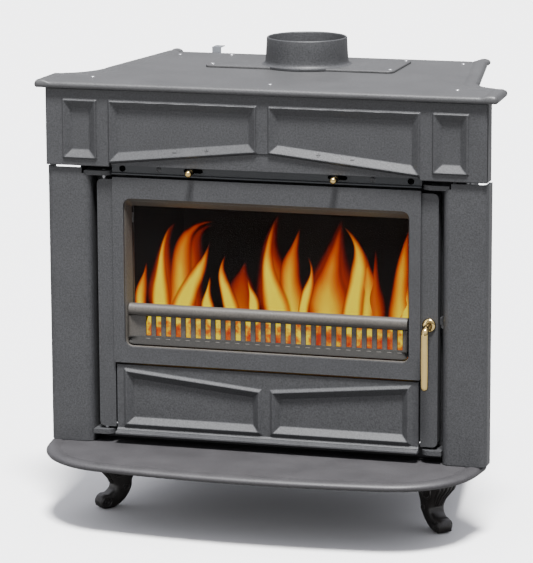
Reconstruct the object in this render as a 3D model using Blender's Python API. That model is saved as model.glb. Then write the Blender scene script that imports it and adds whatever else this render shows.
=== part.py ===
"""Cast-iron wood burning stove: a tapered firebox behind a wide panelled front, on four scroll feet.

Metres, +Z up, the front towards -Y, the origin on the floor under the middle of the stove's box.
Each object is one separate piece. Pieces that move hang from an empty on their joint's axis.
"""

import math

import bmesh
import bpy
from mathutils import Vector

MM = 0.001
GAP = 0.3 * MM  # between pieces that touch
RUN = 0.3 * MM  # all round a pin, spindle or shank in its hole

# Heights
FOOT_HEIGHT = 122.7 * MM
HEARTH_THICK = 14 * MM
BODY_HEIGHT = 657 * MM  # hearth top to the underside of the top plate
FRIEZE_DROP = 141.3 * MM
RAIL_DROP = 156.7 * MM  # underside of the top plate to the foot of the air rail
RAIL_HEIGHT = 18.4 * MM
FLAP_HEIGHT = 130.6 * MM
MID_BAR = 29.6 * MM
TOP_THICK = 12 * MM
COLLAR_HEIGHT = 55 * MM

# Depths
HEARTH_REACH = 174 * MM  # front edge of the hearth to the face of the frieze
COLUMN_SET = 6 * MM  # how far each face stands behind the face of the frieze
DOOR_SET = 12 * MM
BAND_SET = 18 * MM
DOOR_BACK_SET = 44 * MM
FRAME_SET = 52 * MM
HINGE_SET = 26 * MM
FLAP_AXIS_SET = 24 * MM
FRAME_THICK = 8 * MM
BODY_DEPTH = 372 * MM  # front frame to the outside of the back plate
HORN_REACH = 38 * MM  # back plate to the tips of the top plate's horns

# Widths, as distances from the middle
DOOR_HALF = 318.5 * MM
DOOR_BAND = 30.9 * MM
WINDOW_BORDER = 20.6 * MM
COLUMN_WIDE = 82.5 * MM
BODY_BACK_HALF = 300.5 * MM

# Wall thicknesses
IRON = 6 * MM
WALL = 8 * MM
SIDE_WALL = 12 * MM
SHEET = 1.5 * MM
BRICK = 24 * MM

# Door and flap
WINDOW_CORNER = 14 * MM
BEZEL_SIDE = 8 * MM
BEZEL_TOP = 18 * MM
BEZEL_THICK = 5 * MM
GLASS_THICK = 4 * MM
HINGE_INSET = 11.5 * MM
HINGE_PIN_R = 4 * MM
LUG_R = 18 * MM
LUG_THICK = 8.4 * MM
FLAP_PIN_R = 3 * MM
SPINDLE_R = 5 * MM
ROPE_R = 3.7 * MM

# Mouldings on the frieze, flap and sides
RIDGE_RISE = 4 * MM
RIDGE_LAND = 0.8 * MM
BEVEL_WIDTH = 14 * MM
BEVEL_DEPTH = 9.5 * MM

# Air slides
SLIDE_X = 134.3 * MM
SLIDE_TRAVEL = 14 * MM
STEM_R = 3.5 * MM

# Flue
FLUE_R = 75 * MM
FLUE_WALL = 4.5 * MM
FLUE_PLATE_HALF = 180 * MM
FLUE_PLATE_DEPTH = 156 * MM
FLUE_PLATE_THICK = 4 * MM
FLUE_FROM_BACK = 129 * MM

# Levels worked out from the heights
HEARTH_LOW = FOOT_HEIGHT + GAP
HEARTH_TOP = HEARTH_LOW + HEARTH_THICK
TOP_LOW = HEARTH_TOP + BODY_HEIGHT
TOP_HIGH = TOP_LOW + TOP_THICK
FRIEZE_HIGH = TOP_LOW - GAP
FRIEZE_LOW = FRIEZE_HIGH - FRIEZE_DROP
RAIL_LOW = TOP_LOW - RAIL_DROP
RAIL_HIGH = RAIL_LOW + RAIL_HEIGHT
COLUMN_LOW = HEARTH_TOP + GAP
COLUMN_HIGH = RAIL_LOW + 10.7 * MM
DOOR_LOW = HEARTH_TOP + 28 * MM
DOOR_HIGH = RAIL_LOW - 10.3 * MM
FLAP_LOW = HEARTH_TOP + 16.7 * MM
FLAP_AXIS_Z = FLAP_LOW + 16.3 * MM
CENTRE_LOW = FLAP_LOW + FLAP_HEIGHT + 4 * MM
CENTRE_HIGH = RAIL_LOW - 5.1 * MM
WINDOW_LOW = CENTRE_LOW + MID_BAR
WINDOW_HIGH = DOOR_HIGH - 32.9 * MM
BAR_LOW = DOOR_LOW + 6 * MM
BAR_HIGH = DOOR_LOW + 27 * MM
RIM_TOP_LOW = DOOR_HIGH - 19 * MM
LUG_TOP_LOW = DOOR_HIGH + 7.8 * MM
LUG_BOTTOM_LOW = DOOR_LOW - 13 * MM
HANDLE_Z = CENTRE_LOW + 100.7 * MM
ASH_PORT_LOW = HEARTH_TOP + 53 * MM
ASH_PORT_HIGH = CENTRE_LOW - 4.3 * MM
FIRE_PORT_LOW = CENTRE_LOW + 11.7 * MM
FIRE_PORT_HIGH = WINDOW_HIGH + 5.9 * MM
AIR_SLOT_Z = RAIL_LOW + 17.7 * MM
BED_HIGH = FIRE_PORT_LOW
BRICK_HIGH = FIRE_PORT_HIGH + 90 * MM

# Planes worked out from the depths
DEPTH = HEARTH_REACH + FRAME_SET + FRAME_THICK + BODY_DEPTH + HORN_REACH
FRONT = -DEPTH / 2
BACK = DEPTH / 2
FRIEZE_Y = FRONT + HEARTH_REACH
COLUMN_Y = FRIEZE_Y + COLUMN_SET
DOOR_Y = FRIEZE_Y + DOOR_SET
BAND_Y = FRIEZE_Y + BAND_SET
DOOR_BACK_Y = FRIEZE_Y + DOOR_BACK_SET
FRAME_Y = FRIEZE_Y + FRAME_SET
BODY_Y = FRAME_Y + FRAME_THICK
BODY_BACK_Y = BODY_Y + BODY_DEPTH
HINGE_Y = FRIEZE_Y + HINGE_SET
FLAP_AXIS_Y = FRIEZE_Y + FLAP_AXIS_SET
GLASS_Y = DOOR_BACK_Y - 4.2 * MM
HEARTH_BACK_Y = BODY_Y + 8 * MM
FLUE_Y = BODY_BACK_Y - FLUE_FROM_BACK
FLUE_PLATE_Y = FLUE_Y - 65 * MM

# Widths worked out from the door's
CENTRE_HALF = DOOR_HALF - DOOR_BAND
WINDOW_HALF = CENTRE_HALF - WINDOW_BORDER
PORT_HALF = WINDOW_HALF - 5 * MM
FLAP_BAY = CENTRE_HALF - 0.3 * MM
COLUMN_IN = DOOR_HALF + 9.5 * MM
COLUMN_OUT = COLUMN_IN + COLUMN_WIDE
FRIEZE_HALF = COLUMN_OUT - 1.6 * MM
BODY_FRONT_HALF = COLUMN_IN + 33.4 * MM
TOP_HALF = COLUMN_OUT + 18.5 * MM
HEARTH_HALF = COLUMN_OUT - 0.5 * MM
HEARTH_SHIFT = -5 * MM  # the hearth sits a little towards the hinge side
HINGE_X = HINGE_INSET - DOOR_HALF
HANDLE_X = DOOR_HALF - 16 * MM


def clear_scene():
    """Take away whatever the file opened with."""
    for thing in list(bpy.data.objects):
        bpy.data.objects.remove(thing, do_unlink=True)


def finish(name, colour, roughness, metallic):
    """One Principled BSDF material."""
    material = bpy.data.materials.new(name)
    material.use_nodes = True
    shader = material.node_tree.nodes["Principled BSDF"]
    shader.inputs["Base Color"].default_value = (*colour, 1.0)
    shader.inputs["Roughness"].default_value = roughness
    shader.inputs["Metallic"].default_value = metallic
    return material


def add_object(name, mesh, material, smooth=False):
    """Put a mesh in the scene under its node's name."""
    piece = bpy.data.objects.new(name, mesh)
    bpy.context.scene.collection.objects.link(piece)
    piece.data.materials.clear()
    piece.data.materials.append(material)
    if smooth:
        mesh.shade_smooth()
        mesh.set_sharp_from_angle(angle=math.radians(40))
    return piece


def mesh_from(build):
    """Turn a bmesh into a mesh with its faces pointing out."""
    bmesh.ops.recalc_face_normals(build, faces=build.faces)
    mesh = bpy.data.meshes.new("mesh")
    build.to_mesh(mesh)
    build.free()
    return mesh


def loft(rings, closed=False):
    """Closed mesh through rings of equal length: ends capped, or joined up when closed."""
    build = bmesh.new()
    loops = [[build.verts.new(point) for point in ring] for ring in rings]
    count = len(loops[0])
    pairs = list(zip(loops, loops[1:]))
    if closed:
        pairs.append((loops[-1], loops[0]))
    for low, high in pairs:
        for i in range(count):
            j = (i + 1) % count
            build.faces.new((low[i], low[j], high[j], high[i]))
    if not closed:
        build.faces.new(loops[0])
        build.faces.new(loops[-1])
    return mesh_from(build)


def place(point, depth, plane):
    """A point of an outline in the named plane, at a depth along the third axis."""
    a, b = point
    if plane == "XY":
        return (a, b, depth)
    if plane == "XZ":
        return (a, depth, b)
    return (depth, a, b)


def prism(outline, low, high, plane="XY", holes=()):
    """An outline in a plane, with holes, carried from low to high along the third axis."""
    build = bmesh.new()
    edges = []
    for loop in (outline, *holes):
        points = [build.verts.new(place(point, low, plane)) for point in loop]
        edges += [build.edges.new((points[i - 1], points[i])) for i in range(len(points))]
    if holes:
        bmesh.ops.triangle_fill(build, use_beauty=True, edges=edges)
    else:
        build.faces.new(list(build.verts))
    flat = list(build.faces)
    moved = bmesh.ops.extrude_face_region(build, geom=flat)["geom"]
    shift = Vector(place((0, 0), high - low, plane))
    bmesh.ops.translate(build, verts=[v for v in moved if isinstance(v, bmesh.types.BMVert)], vec=shift)
    return mesh_from(build)


def box(low, high):
    """A box between two corners."""
    return prism(rectangle(low[0], low[1], high[0], high[1]), low[2], high[2])


def rectangle(left, low, right, high):
    return [(left, low), (right, low), (right, high), (left, high)]


def arc(centre, radius, start, end, steps):
    """Points on an arc, in degrees, both ends included."""
    points = []
    for i in range(steps + 1):
        angle = math.radians(start + (end - start) * i / steps)
        points.append((centre[0] + radius * math.cos(angle), centre[1] + radius * math.sin(angle)))
    return points


def circle(centre, radius, steps):
    return arc(centre, radius, 0, 360 - 360 / steps, steps - 1)


def round_rectangle(left, low, right, high, radius, steps=4):
    """A rectangle with four round corners, counter-clockwise."""
    return (
        arc((right - radius, low + radius), radius, -90, 0, steps)
        + arc((right - radius, high - radius), radius, 0, 90, steps)
        + arc((left + radius, high - radius), radius, 90, 180, steps)
        + arc((left + radius, low + radius), radius, 180, 270, steps)
    )


def offset(outline, distance):
    """A counter-clockwise outline moved out by a distance, its corners mitred."""
    count = len(outline)
    moved = []
    for i in range(count):
        here = Vector(outline[i])
        before = (here - Vector(outline[i - 1])).normalized()
        after = (Vector(outline[(i + 1) % count]) - here).normalized()
        normal_a = Vector((before.y, -before.x))
        normal_b = Vector((after.y, -after.x))
        mitre = (normal_a + normal_b) / (1 + normal_a.dot(normal_b))
        moved.append(tuple(here + mitre * distance))
    return moved


def mirrored(outline):
    """The same outline on the other side of x = 0, still counter-clockwise."""
    return [(-x, y) for x, y in reversed(outline)]


def edged_plate(outline, profile):
    """A plate whose edge follows a profile of (inset, height) pairs from the bottom up."""
    return loft([[(x, y, height) for x, y in offset(outline, -inset)] for inset, height in profile])


def turned(profile, centre, axis="Z", steps=24):
    """A solid of revolution: a closed (radius, height) loop spun about an axis through centre."""
    rings = []
    for i in range(steps):
        angle = 2 * math.pi * i / steps
        ring = []
        for radius, height in profile:
            a, b = radius * math.cos(angle), radius * math.sin(angle)
            local = {"Z": (a, b, height), "Y": (a, height, b), "X": (height, a, b)}[axis]
            ring.append(tuple(Vector(centre) + Vector(local)))
        rings.append(ring)
    build_mesh = loft(rings, closed=True)
    build = bmesh.new()
    build.from_mesh(build_mesh)
    bmesh.ops.remove_doubles(build, verts=build.verts, dist=1e-6)
    return mesh_from(build)


def rod(centre, radius, low, high, axis="Z", steps=16):
    """A plain round bar from low to high along an axis."""
    rings = []
    for height in (low, high):
        ring = []
        for a, b in circle((0, 0), radius, steps):
            local = {"Z": (a, b, height), "Y": (a, height, b), "X": (height, a, b)}[axis]
            ring.append(tuple(Vector(centre) + Vector(local)))
        rings.append(ring)
    return loft(rings)


def combine(piece, tools, operation):
    """Join meshes to a piece or cut them out of it, and keep the result as its mesh."""
    for tool in tools:
        cutter = bpy.data.objects.new("cutter", tool)
        bpy.context.scene.collection.objects.link(cutter)
        cutter.hide_render = True
        cutter.display_type = "WIRE"
        change = piece.modifiers.new("cut", "BOOLEAN")
        change.operation = operation
        change.solver = "EXACT"
        change.object = cutter
        bpy.context.view_layer.update()
        graph = bpy.context.evaluated_depsgraph_get()
        result = bpy.data.meshes.new_from_object(piece.evaluated_get(graph))
        piece.modifiers.clear()
        piece.data = result
        bpy.data.objects.remove(cutter, do_unlink=True)
    return piece


def join(piece, *tools):
    return combine(piece, tools, "UNION")


def cut(piece, *tools):
    return combine(piece, tools, "DIFFERENCE")


def axis_empty(name, location, parent=None):
    """An empty on a joint's axis."""
    empty = bpy.data.objects.new(name, None)
    bpy.context.scene.collection.objects.link(empty)
    empty.location = Vector(location)
    if parent is not None:
        empty.parent = parent
        empty.location = Vector(location) - axis_place(parent)
    return empty


def axis_place(empty):
    """Where an empty stands in the world."""
    place_now = empty.location.copy()
    while empty.parent is not None:
        empty = empty.parent
        place_now += empty.location
    return place_now


def hang(empty, *pieces):
    """Parent pieces modelled in world coordinates to an empty without moving them."""
    for piece in pieces:
        piece.parent = empty
        piece.location = -axis_place(empty)


def moulded_plate(outline, panels, face, back, slope, rise, land, bevel, depth):
    """A plate with framed panels: a ridge stands proud of its face round a recessed field.

    The plate lies in XZ and its face looks to -Y. Each panel is the outline of its ridge.
    """
    steps = (
        (slope, face),
        (0.0, face - rise),
        (-land, face - rise),
        (-land - bevel, face - rise + depth),
    )
    build = bmesh.new()
    front = [build.verts.new((x, face, z)) for x, z in outline]
    rear = [build.verts.new((x, back, z)) for x, z in outline]
    edges = [build.edges.new((front[i - 1], front[i])) for i in range(len(front))]
    for panel in panels:
        loops = []
        for distance, y in steps:
            loops.append([build.verts.new((x, y, z)) for x, z in offset(panel, distance)])
        edges += [build.edges.new((loops[0][i - 1], loops[0][i])) for i in range(len(panel))]
        for low, high in zip(loops, loops[1:]):
            for i in range(len(panel)):
                build.faces.new((low[i - 1], low[i], high[i], high[i - 1]))
        build.faces.new(loops[-1])
    bmesh.ops.triangle_fill(build, use_beauty=True, edges=edges)
    for i in range(len(front)):
        build.faces.new((front[i - 1], front[i], rear[i], rear[i - 1]))
    build.faces.new(rear)
    return mesh_from(build)


def body_half(y):
    """Half the width of the tapered body, outside, at a depth."""
    share = (y - BODY_Y) / BODY_DEPTH
    return BODY_FRONT_HALF + (BODY_BACK_HALF - BODY_FRONT_HALF) * share


# ---------------------------------------------------------------- feet, hearth and base

PAN_HALF = 205 * MM
PAN_FRONT = BODY_Y + 4 * MM
PAN_BACK = BODY_BACK_Y - 52 * MM
PAN_LOW = ASH_PORT_LOW + 2 * MM

FRONT_FOOT = (COLUMN_IN - 10 * MM, FRIEZE_Y + 50 * MM)
REAR_FOOT = (BODY_BACK_HALF - 38.5 * MM, BODY_BACK_Y - 46 * MM)
FOOT_TOE_WIDTH = 28 * MM
FOOT_KNEE_WIDTH = 56 * MM


def foot_outline():
    """Side view of a scroll foot: s outwards along the corner, z up, the toe a volute."""
    toe = arc((10 * MM, 14.2 * MM), 14.2 * MM, -90, 112, 8)
    shin = [(-5, 34), (-7.8, 42.5), (-4.3, 51.7), (7.6, 66.3), (22, 80), (36, 96)]
    calf = [(-58, 92), (-55, 74), (-49, 60), (-44, 50), (-45, 41), (-41, 29.5), (-34, 17.7), (-25, 9), (-15, 3), (-6, 0)]
    knee = [(38 * MM, FOOT_HEIGHT), (-58 * MM, FOOT_HEIGHT)]
    return toe + [(s * MM, z * MM) for s, z in shin] + knee + [(s * MM, z * MM) for s, z in calf]


def make_feet(iron):
    """Four cast feet, each turned out to its corner and widening evenly from the toe to the knee."""
    mesh = prism(foot_outline(), -0.5, 0.5, plane="XZ")
    for vertex in mesh.vertices:
        vertex.co.y *= FOOT_TOE_WIDTH + (FOOT_KNEE_WIDTH - FOOT_TOE_WIDTH) * vertex.co.z / FOOT_HEIGHT
    mesh.shade_smooth()
    mesh.set_sharp_from_angle(angle=math.radians(40))
    feet = {
        "foot_front_left": (-FRONT_FOOT[0], FRONT_FOOT[1], 225),
        "foot_front_right": (FRONT_FOOT[0], FRONT_FOOT[1], 315),
        "foot_rear_left": (-REAR_FOOT[0], REAR_FOOT[1], 135),
        "foot_rear_right": (REAR_FOOT[0], REAR_FOOT[1], 45),
    }
    for name, (x, y, turn) in feet.items():
        foot = add_object(name, mesh, iron)
        foot.location = (x, y, 0)
        foot.rotation_euler = (0, 0, math.radians(turn))


def hearth_outline():
    """Plan of the hearth: three tangent arcs on each side, straight behind the frame."""
    tip, turn = Vector((0, FRONT)), 0
    points = []
    for radius, end, steps in ((1880 * MM, 8.1, 4), (160 * MM, 80, 9), (500 * MM, 90, 3)):
        swing = math.radians(turn)
        centre = tip + radius * Vector((-math.sin(swing), math.cos(swing)))
        points += arc(centre, radius, turn - 90, end - 90, steps)[1:]
        tip, turn = Vector(points[-1]), end
    stretch = HEARTH_HALF / tip.x
    corner = 32 * MM
    right = [(x * stretch, y) for x, y in points if y < HEARTH_BACK_Y - corner - 8 * MM]
    right += arc((HEARTH_HALF - corner, HEARTH_BACK_Y - corner), corner, 0, 90, 3)
    return [(0, FRONT)] + right + mirrored(right)


def foot_pad(x, y, low, high):
    """The round boss that a foot is bolted to."""
    return rod((x, y, 0), 34 * MM, low, high, steps=20)


def make_hearth(iron):
    """The hearth plate, its edge a wide rolled band."""
    profile = (
        (6 * MM, HEARTH_LOW),
        (1.6 * MM, HEARTH_LOW + 2 * MM),
        (0, HEARTH_LOW + 5.5 * MM),
        (1.2 * MM, HEARTH_LOW + 9 * MM),
        (5 * MM, HEARTH_LOW + 11.8 * MM),
        (13 * MM, HEARTH_TOP - 0.6 * MM),
        (22 * MM, HEARTH_TOP),
    )
    hearth = add_object("hearth_plate", edged_plate(hearth_outline(), profile), iron, smooth=True)
    hearth.location.x = HEARTH_SHIFT


def make_base(iron):
    """The bottom plate of the body, with bosses down to the rear feet."""
    front = HEARTH_BACK_Y + GAP
    outline = [
        (-body_half(front), front),
        (body_half(front), front),
        (body_half(BODY_BACK_Y), BODY_BACK_Y),
        (-body_half(BODY_BACK_Y), BODY_BACK_Y),
    ]
    base = add_object("base_plate", prism(outline, HEARTH_TOP - 12 * MM, HEARTH_TOP), iron)
    for side in (-1, 1):
        join(base, foot_pad(side * REAR_FOOT[0], REAR_FOOT[1], HEARTH_LOW, HEARTH_TOP - 11 * MM))
        x = side * (PAN_HALF - 6 * MM)
        rib = (x - 5 * MM, PAN_FRONT, HEARTH_TOP - MM), (x + 5 * MM, PAN_BACK, PAN_LOW - GAP)
        join(base, box(*rib))


# ---------------------------------------------------------------- front castings

LUG_REACH = COLUMN_IN + 12 * MM


def column_outline():
    """Plan of the right column: a hooked shell, its inner edge a wide round and its outer a small one."""
    wide, small = 15 * MM, 12 * MM
    rear_out = COLUMN_Y + 36 * MM
    outside = (
        [(COLUMN_IN, FRAME_Y - GAP)]
        + arc((COLUMN_IN + wide, COLUMN_Y + wide), wide, 180, 270, 5)
        + arc((COLUMN_OUT - small, COLUMN_Y + small), small, 270, 360, 4)
        + [(COLUMN_OUT, rear_out), (COLUMN_OUT - IRON, rear_out)]
    )
    inside = (
        arc((COLUMN_OUT - small, COLUMN_Y + small), small - IRON, 360, 270, 4)
        + arc((COLUMN_IN + wide, COLUMN_Y + wide), wide - IRON, 270, 180, 5)
        + [(COLUMN_IN + IRON, FRAME_Y - GAP)]
    )
    return list(reversed(outside + inside))


def make_columns(iron):
    """The two plain columns beside the door, notched at the top for the hinge lugs."""
    for name, side in (("column_left", -1), ("column_right", 1)):
        outline = column_outline()
        if side < 0:
            outline = mirrored(outline)
        column = add_object(name, prism(outline, COLUMN_LOW, COLUMN_HIGH), iron, smooth=True)
        reach = sorted((side * (COLUMN_IN - 5 * MM), side * (LUG_REACH + 1.2 * MM)))
        notch = box(
            (reach[0], COLUMN_Y - 5 * MM, LUG_TOP_LOW - 1 * MM),
            (reach[1], FRAME_Y + 5 * MM, COLUMN_HIGH + 5 * MM),
        )
        cut(column, notch)


def lug_outline(side, reach):
    """Plan of a hinge lug: a tongue from the frame with a round nose about the pin."""
    pin = abs(HINGE_X)
    root = FRAME_Y + 3 * MM
    nose = arc((pin, HINGE_Y), LUG_R, 180, 270, 5)
    tongue = [(pin - LUG_R, root), *nose, (reach, HINGE_Y - LUG_R), (reach, root)]
    return mirrored(tongue) if side < 0 else tongue


def make_frame(iron):
    """The front frame: the plate that the door shuts on, with four hinge lugs and two ports."""
    half = BODY_FRONT_HALF
    plate = rectangle(-half, HEARTH_TOP + GAP, half, FRIEZE_HIGH)
    fire_port = rectangle(-PORT_HALF, FIRE_PORT_LOW, PORT_HALF, FIRE_PORT_HIGH)
    ash_port = rectangle(-PORT_HALF, ASH_PORT_LOW, PORT_HALF, ASH_PORT_HIGH)
    wash = rectangle(-AIR_SLOT_HALF, AIR_SLOT_Z - 4 * MM, AIR_SLOT_HALF, AIR_SLOT_Z + 4 * MM)
    mesh = prism(plate, FRAME_Y, BODY_Y, plane="XZ", holes=(fire_port, ash_port, wash))
    frame = add_object("front_frame", mesh, iron)
    for side in (-1, 1):
        for low, reach in ((LUG_TOP_LOW, LUG_REACH), (LUG_BOTTOM_LOW, COLUMN_IN - GAP)):
            join(frame, prism(lug_outline(side, reach), low, low + LUG_THICK))
            hole = rod((side * abs(HINGE_X), HINGE_Y, 0), HINGE_PIN_R + RUN, low - MM, low + LUG_THICK + MM)
            cut(frame, hole)


AIR_SLOT_HALF = WINDOW_HALF - 37 * MM

# Frieze panels, as the outlines of their ridges
LARGE_IN = 12.5 * MM
LARGE_OUT = CENTRE_HALF - 0.6 * MM
LARGE_LOW = FRIEZE_LOW + 10.1 * MM
LARGE_PEAK = FRIEZE_LOW + 38.4 * MM
GABLE_UNDER = 3.6 * MM  # iron below each large panel
DUCT_HIGH = FRIEZE_LOW + 52.6 * MM
SMALL_IN = FRIEZE_HALF - 96 * MM
SMALL_OUT = FRIEZE_HALF - 34.6 * MM
SMALL_LOW = FRIEZE_LOW + 15 * MM
PANEL_HIGH = FRIEZE_HIGH - 21.4 * MM


def make_frieze(iron):
    """The frieze under the top plate: two small and two large panels, its lower edge a low gable."""
    large = [(LARGE_IN, LARGE_PEAK), (LARGE_OUT, LARGE_LOW), (LARGE_OUT, PANEL_HIGH), (LARGE_IN, PANEL_HIGH)]
    small = rectangle(SMALL_IN, SMALL_LOW, SMALL_OUT, PANEL_HIGH)
    right = [(LARGE_OUT + 2 * MM, LARGE_LOW - GABLE_UNDER), (LARGE_IN, LARGE_PEAK - GABLE_UNDER)]
    outline = (
        [(-FRIEZE_HALF, FRIEZE_LOW), (-LARGE_OUT - 4 * MM, FRIEZE_LOW)]
        + [(-x, z) for x, z in right]
        + list(reversed(right))
        + [(LARGE_OUT + 4 * MM, FRIEZE_LOW), (FRIEZE_HALF, FRIEZE_LOW)]
        + [(FRIEZE_HALF, FRIEZE_HIGH), (-FRIEZE_HALF, FRIEZE_HIGH)]
    )
    panels = (large, mirrored(large), small, mirrored(small))
    mesh = moulded_plate(
        outline, panels, FRIEZE_Y, FRIEZE_Y + 11.5 * MM, 2.5 * MM, RIDGE_RISE, RIDGE_LAND, BEVEL_WIDTH, BEVEL_DEPTH
    )
    frieze = add_object("frieze", mesh, iron)
    for side in (-1, 1):
        reach = sorted((side * FRIEZE_HALF, side * (FRIEZE_HALF - IRON)))
        join(frieze, box((reach[0], FRIEZE_Y, FRIEZE_LOW), (reach[1], FRIEZE_Y + 39 * MM, FRIEZE_HIGH)))


def make_lintel(iron):
    """The lintel: a plate that closes the duct, its raised gable filling the frieze's lower edge."""
    low, high = RAIL_HIGH + GAP, DUCT_HIGH
    plate = prism(rectangle(-RAIL_HALF, low, RAIL_HALF, high), DOOR_Y, DOOR_Y + IRON, plane="XZ")
    lintel = add_object("lintel", plate, iron)
    under = GABLE_UNDER + 2 * GAP
    side = LARGE_OUT - 2 * MM
    gable = [(side, low), (side, LARGE_LOW - under), (LARGE_IN, LARGE_PEAK - under)]
    join(lintel, prism(gable + mirrored(gable), FRIEZE_Y + 2 * MM, DOOR_Y + MM, plane="XZ"))


def make_air_duct(iron):
    """The channel behind the lintel that carries the window air."""
    face, rear, top = DOOR_Y + IRON + GAP, FRAME_Y - GAP, DUCT_HIGH
    floor_low, floor_high = RAIL_LOW, RAIL_LOW + 5 * MM
    section = [
        (face, top - IRON),
        (rear - 5 * MM, top - IRON),
        (rear - 5 * MM, floor_high),
        (RAIL_BACK_Y + GAP, floor_high),
        (RAIL_BACK_Y + GAP, floor_low),
        (rear, floor_low),
        (rear, top),
        (face, top),
    ]
    half = RAIL_HALF
    duct = add_object("air_duct", prism(section, -half, half, plane="YZ"), iron)
    for side in (-1, 1):
        reach = sorted((side * half, side * (half - 5 * MM)))
        wall = prism(rectangle(RAIL_BACK_Y + GAP, floor_low, rear, top), reach[0], reach[1], plane="YZ")
        join(duct, wall)
    slot = rectangle(-AIR_SLOT_HALF, AIR_SLOT_Z - 4 * MM, AIR_SLOT_HALF, AIR_SLOT_Z + 4 * MM)
    slot = prism(slot, rear - 8 * MM, rear + 2 * MM, "XZ")
    cut(duct, slot)


RAIL_HALF = CENTRE_HALF + 0.7 * MM
RAIL_Y = FRIEZE_Y + 16 * MM
RAIL_BACK_Y = RAIL_Y + 5 * MM
RAIL_HOLE_X = RAIL_HALF - 19.8 * MM
RAIL_SCREW_X = 199.6 * MM
RAIL_SCREW_Z = RAIL_LOW + 10.5 * MM
SLIDE_Z = RAIL_LOW + 11.2 * MM
SHANK_R = 2 * MM


def make_rail(iron):
    """The air rail: a strip with a lip along its foot, two slots for the slides, and its screw holes."""
    section = [
        (RAIL_Y, RAIL_HIGH),
        (RAIL_Y, RAIL_LOW + 3.5 * MM),
        (RAIL_Y - 4 * MM, RAIL_LOW + 2.5 * MM),
        (RAIL_Y - 4 * MM, RAIL_LOW),
        (RAIL_BACK_Y, RAIL_LOW),
        (RAIL_BACK_Y, RAIL_HIGH),
    ]
    rail = add_object("air_rail", prism(section, -RAIL_HALF, RAIL_HALF, plane="YZ"), iron)
    low, high = RAIL_Y - 8 * MM, RAIL_BACK_Y + 4 * MM
    for side in (-1, 1):
        reach = SLIDE_TRAVEL + STEM_R + 0.5 * MM
        height = STEM_R + 0.4 * MM
        x = side * SLIDE_X
        slot = round_rectangle(x - reach, SLIDE_Z - height, x + reach, SLIDE_Z + height, 3.8 * MM)
        cut(rail, prism(slot, low, high, plane="XZ"))
        cut(rail, rod((side * RAIL_SCREW_X, 0, RAIL_SCREW_Z), SHANK_R + RUN, low, high, "Y", 12))
        cut(rail, rod((side * RAIL_HOLE_X, 0, RAIL_SCREW_Z), 6.2 * MM, low, high, "Y", 16))
    return rail


def screw_profile(head_r, head_h, shank_r, length):
    """Half section of a low domed screw standing on z = 0, its shank below."""
    return [
        (0, head_h),
        (head_r * 0.6, head_h * 0.85),
        (head_r, head_h * 0.3),
        (head_r, 0),
        (shank_r, 0),
        (shank_r, -length),
        (0, -length),
    ]


def make_rail_screws(steel):
    """The two cross-head screws that hold the air rail to the duct's ends."""
    for name, side in (("rail_screw_left", -1), ("rail_screw_right", 1)):
        profile = [(r, -h) for r, h in screw_profile(5.2 * MM, 2 * MM, SHANK_R, 4.5 * MM)]
        mesh = turned(profile, (side * RAIL_SCREW_X, RAIL_Y - GAP, RAIL_SCREW_Z), "Y", 16)
        add_object(name, mesh, steel, smooth=True)


def make_slides(iron, brass):
    """Two sliding shutters behind the rail, each with a brass knob on a stem through its slot."""
    for label, side in (("left", -1), ("right", 1)):
        x = side * SLIDE_X
        axis = axis_empty(f"air_{label}_axis", (x, RAIL_Y, SLIDE_Z))
        low = RAIL_LOW + 5.4 * MM
        plate = box(
            (x - 35 * MM, RAIL_BACK_Y + GAP, low),
            (x + 35 * MM, RAIL_BACK_Y + 2.5 * MM, RAIL_HIGH - 0.6 * MM),
        )
        slide = add_object(f"air_slide_{label}", plate, iron)
        join(slide, rod((x, 0, SLIDE_Z), STEM_R, RAIL_Y - 8 * MM, RAIL_BACK_Y + 2 * MM, "Y", 14))
        root = RAIL_Y - 8 * MM - GAP
        profile = [(0, 0), (5.4 * MM, 0), (5.7 * MM, -1 * MM), (5.7 * MM, -15 * MM), (6.3 * MM, -17 * MM)]
        profile += [(6.5 * MM * math.cos(a), -22 * MM - 6.5 * MM * math.sin(a)) for a in (0, 0.4, 0.8, 1.2)]
        profile += [(0, -28.5 * MM)]
        mesh = turned(profile, (x, root, SLIDE_Z), "Y", 18)
        knob = add_object(f"air_knob_{label}", mesh, brass, smooth=True)
        hang(axis, slide, knob)


# ---------------------------------------------------------------- door

def band_outline(low, high, corner):
    """The door's own outline."""
    return round_rectangle(-DOOR_HALF, low, DOOR_HALF, high, corner, 3)


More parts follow.
